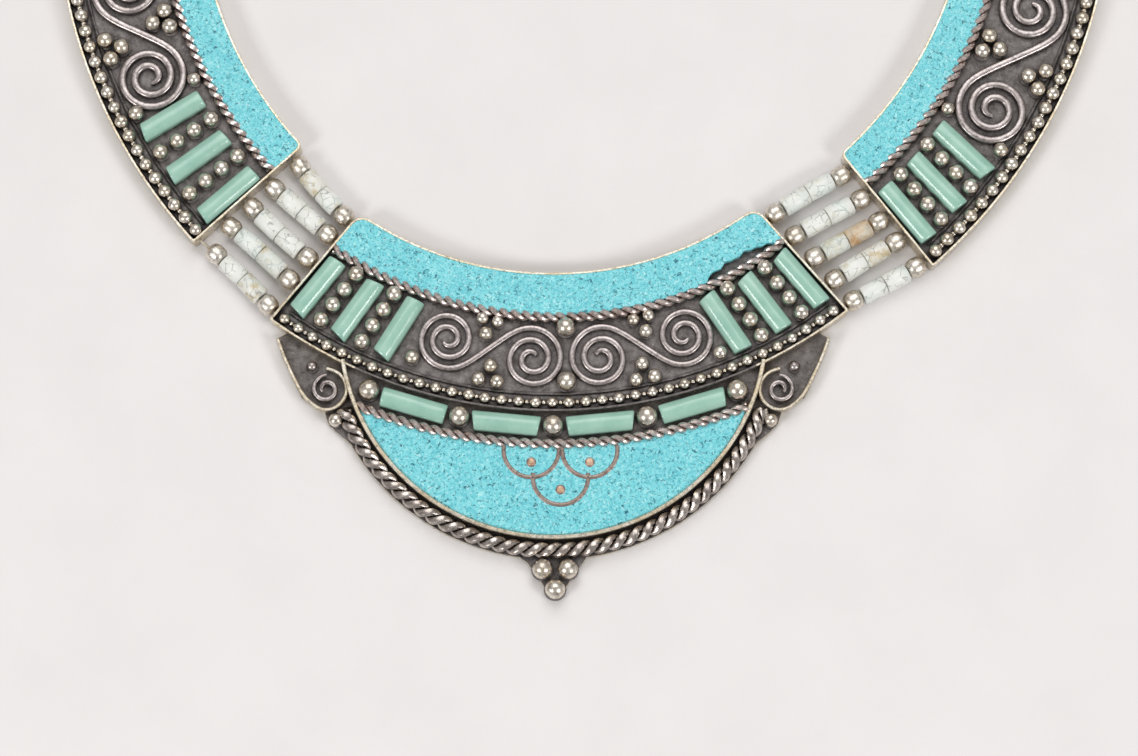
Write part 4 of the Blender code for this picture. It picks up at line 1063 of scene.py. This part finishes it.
def make_strings(name, panel, band):
    for number, (side_share, band_share, bow, bare) in enumerate(STRINGS[name], 1):
        start = end_wall_point(panel, -1, side_share)
        gap = end_wall_point(band, panel.side, band_share) - start
        heading = gap.normalized()
        across = Vector((-heading.y, heading.x)) * panel.side * bow * STRING_BOW
        length = gap.length - 2 * CLEARANCE
        loose = bare * BARE_THREAD
        tube_length = (length - loose - 2 * BEAD_LENGTH - 5 * BEAD_GAP) / 2

        def route(distance):
            sag = sin(pi * distance / length)
            return flat3(start + heading * (distance + CLEARANCE) + across * sag, STRING_HEIGHT)
        form = Form()
        thread = [route(length * i / 12) for i in range(13)]
        thread[0] -= flat3(heading) * 0.0004
        thread[-1] += flat3(heading) * 0.0004
        tube(form, thread, THREAD_RADIUS, "thread", 8)
        spot = loose + BEAD_GAP
        for kind in ("bead", "tube", "tube", "bead"):
            size = BEAD_LENGTH if kind == "bead" else tube_length
            first, last = route(spot), route(spot + size)
            along = (last - first).normalized()
            if kind == "bead":
                profile = bead_profile(size, STRING_BEAD * rng.uniform(0.96, 1.0))
                turned(form, first, along, profile, "bead", 24, 0.02)
            else:
                look = rng.choice(("howlite", "howlite", "howlite_tan"))
                if (name, number) == ("right", 3) and spot < length / 2:
                    look = "howlite_orange"
                profile = tube_profile(size, STRING_TUBE * rng.uniform(0.96, 1.03))
                turned(form, first, along, profile, look, 24, 0.03)
            spot += size + BEAD_GAP
        form.piece(f"{name}_strand_{number}", (f"{name}_string_{number}",), 50)


def nape_route(left, right):
    """Half oval between the far walls, as long as the chains and the clasp."""
    start = right.place(right.half_span, right.mid)
    stop = left.place(left.half_span, left.mid)
    middle, half = (start + stop) / 2, (start - stop) / 2
    rise = Vector((-half.y, half.x)).normalized()
    target = 2 * (CHAIN_LENGTH + CLASP_LENGTH / 2)
    low, high, count = 0.0, target, 240
    for _ in range(40):
        depth = (low + high) / 2
        angles = [pi * i / count for i in range(count + 1)]
        points = [middle + half * cos(angle) + rise * depth * sin(angle) for angle in angles]
        low, high = (depth, high) if path_length(points) < target else (low, depth)
    return points


def route_at(points, distance):
    for first, second in zip(points, points[1:]):
        step = (second - first).length
        if distance <= step:
            return first + (second - first) * (distance / step), (second - first).normalized()
        distance -= step
    return points[-1], (points[-1] - points[-2]).normalized()


def make_nape(left, right):
    route = nape_route(left, right)
    for name, points in (("right", route), ("left", route[::-1])):
        form = Form()
        for number in range(LINKS_A_SIDE):
            distance = LUG_SEAT + LINK_LENGTH / 2 - LINK_WIRE + LINK_PITCH * number
            centre, heading = route_at(points, distance)
            place = facing(flat3(centre, CHAIN_HEIGHT), heading, LINK_TILT if number % 2 else -LINK_TILT)
            hoop(form, place, LINK_LENGTH, LINK_WIDTH, LINK_WIRE, LINK_STEPS, 0.5, "bead")
        form.piece(name + "_links", (name + "_chain",))
    first, last = [route_at(route, CHAIN_LENGTH + add)[0] for add in (0, CLASP_LENGTH)]
    heading = (last - first).normalized()
    form = Form()
    middle, axis = flat3((first + last) / 2, CHAIN_HEIGHT), flat3(heading)
    half = [(0.0, 0.3), (0.0, 0.55), (0.03, 0.68), (0.06, 0.62), (0.08, 0.85), (0.13, 0.98), (0.20, 1.0),
            (0.48, 1.0), (0.49, 0.95)]
    shares = half + [(1 - share, size) for share, size in half[::-1]]
    profile = [(share * CLASP_LENGTH, size * CLASP_RADIUS) for share, size in shares]
    turned(form, middle - axis * CLASP_LENGTH / 2, axis, profile, "bead", 28)
    for end in (-1, 1):
        ring(form, middle + axis * end * (CLASP_LENGTH / 2 + LUG_REACH), heading, "bead")
    form.piece("barrel_clasp", ("clasp",))


# Stage

def make_stage():
    mesh = bpy.data.meshes.new("floor")
    corners = [(x * GROUND_SIZE, y * GROUND_SIZE, 0) for x, y in ((-1, -1), (1, -1), (1, 1), (-1, 1))]
    mesh.from_pydata(corners, [], [(0, 1, 2, 3)])
    mesh.materials.append(floor_paper())
    ground = bpy.data.objects.new("floor", mesh)
    ground.location.z = -GROUND_DROP
    bpy.context.scene.collection.objects.link(ground)
    world = bpy.data.worlds.new("studio")
    world.use_nodes = True
    backdrop = world.node_tree.nodes["Background"]
    backdrop.inputs["Color"].default_value = (1.0, 0.985, 0.97, 1)
    backdrop.inputs["Strength"].default_value = WORLD_STRENGTH
    bpy.context.scene.world = world
    for name, (place, aim, size, energy) in LIGHTS.items():
        soft_light(name, Vector(place), Vector(aim), size, energy)


def soft_light(name, place, aim, size, energy):
    """An area light, placed and aimed from the camera's target."""
    data = bpy.data.lights.new(name, "AREA")
    data.size = size
    data.energy = energy
    item = bpy.data.objects.new(name, data)
    item.location = CAMERA_TARGET + ORIGIN + place
    item.rotation_euler = (aim - place).to_track_quat("-Z", "Y").to_euler()
    bpy.context.scene.collection.objects.link(item)


def make_camera():
    data = bpy.data.cameras.new("camera")
    data.sensor_width = 36
    data.lens = CAMERA_LENS
    data.clip_start = 0.01
    item = bpy.data.objects.new("camera", data)
    target = CAMERA_TARGET + ORIGIN
    tilt = radians(CAMERA_ELEVATION)
    item.location = target + Vector((0, -cos(tilt), sin(tilt))) * CAMERA_DISTANCE
    item.rotation_euler = (target - item.location).to_track_quat("-Z", "Y").to_euler()
    bpy.context.scene.collection.objects.link(item)
    bpy.context.scene.camera = item


def main():
    bpy.context.scene.view_settings.view_transform = "Standard"
    make_camera()
    band, sides = make_panels()
    make_centre(band)
    for name, panel in sides.items():
        make_side(name, panel)
        make_strings(name, panel, band)
    make_nape(sides["left"], sides["right"])
    make_stage()


main()
bpy.context.view_layer.update()
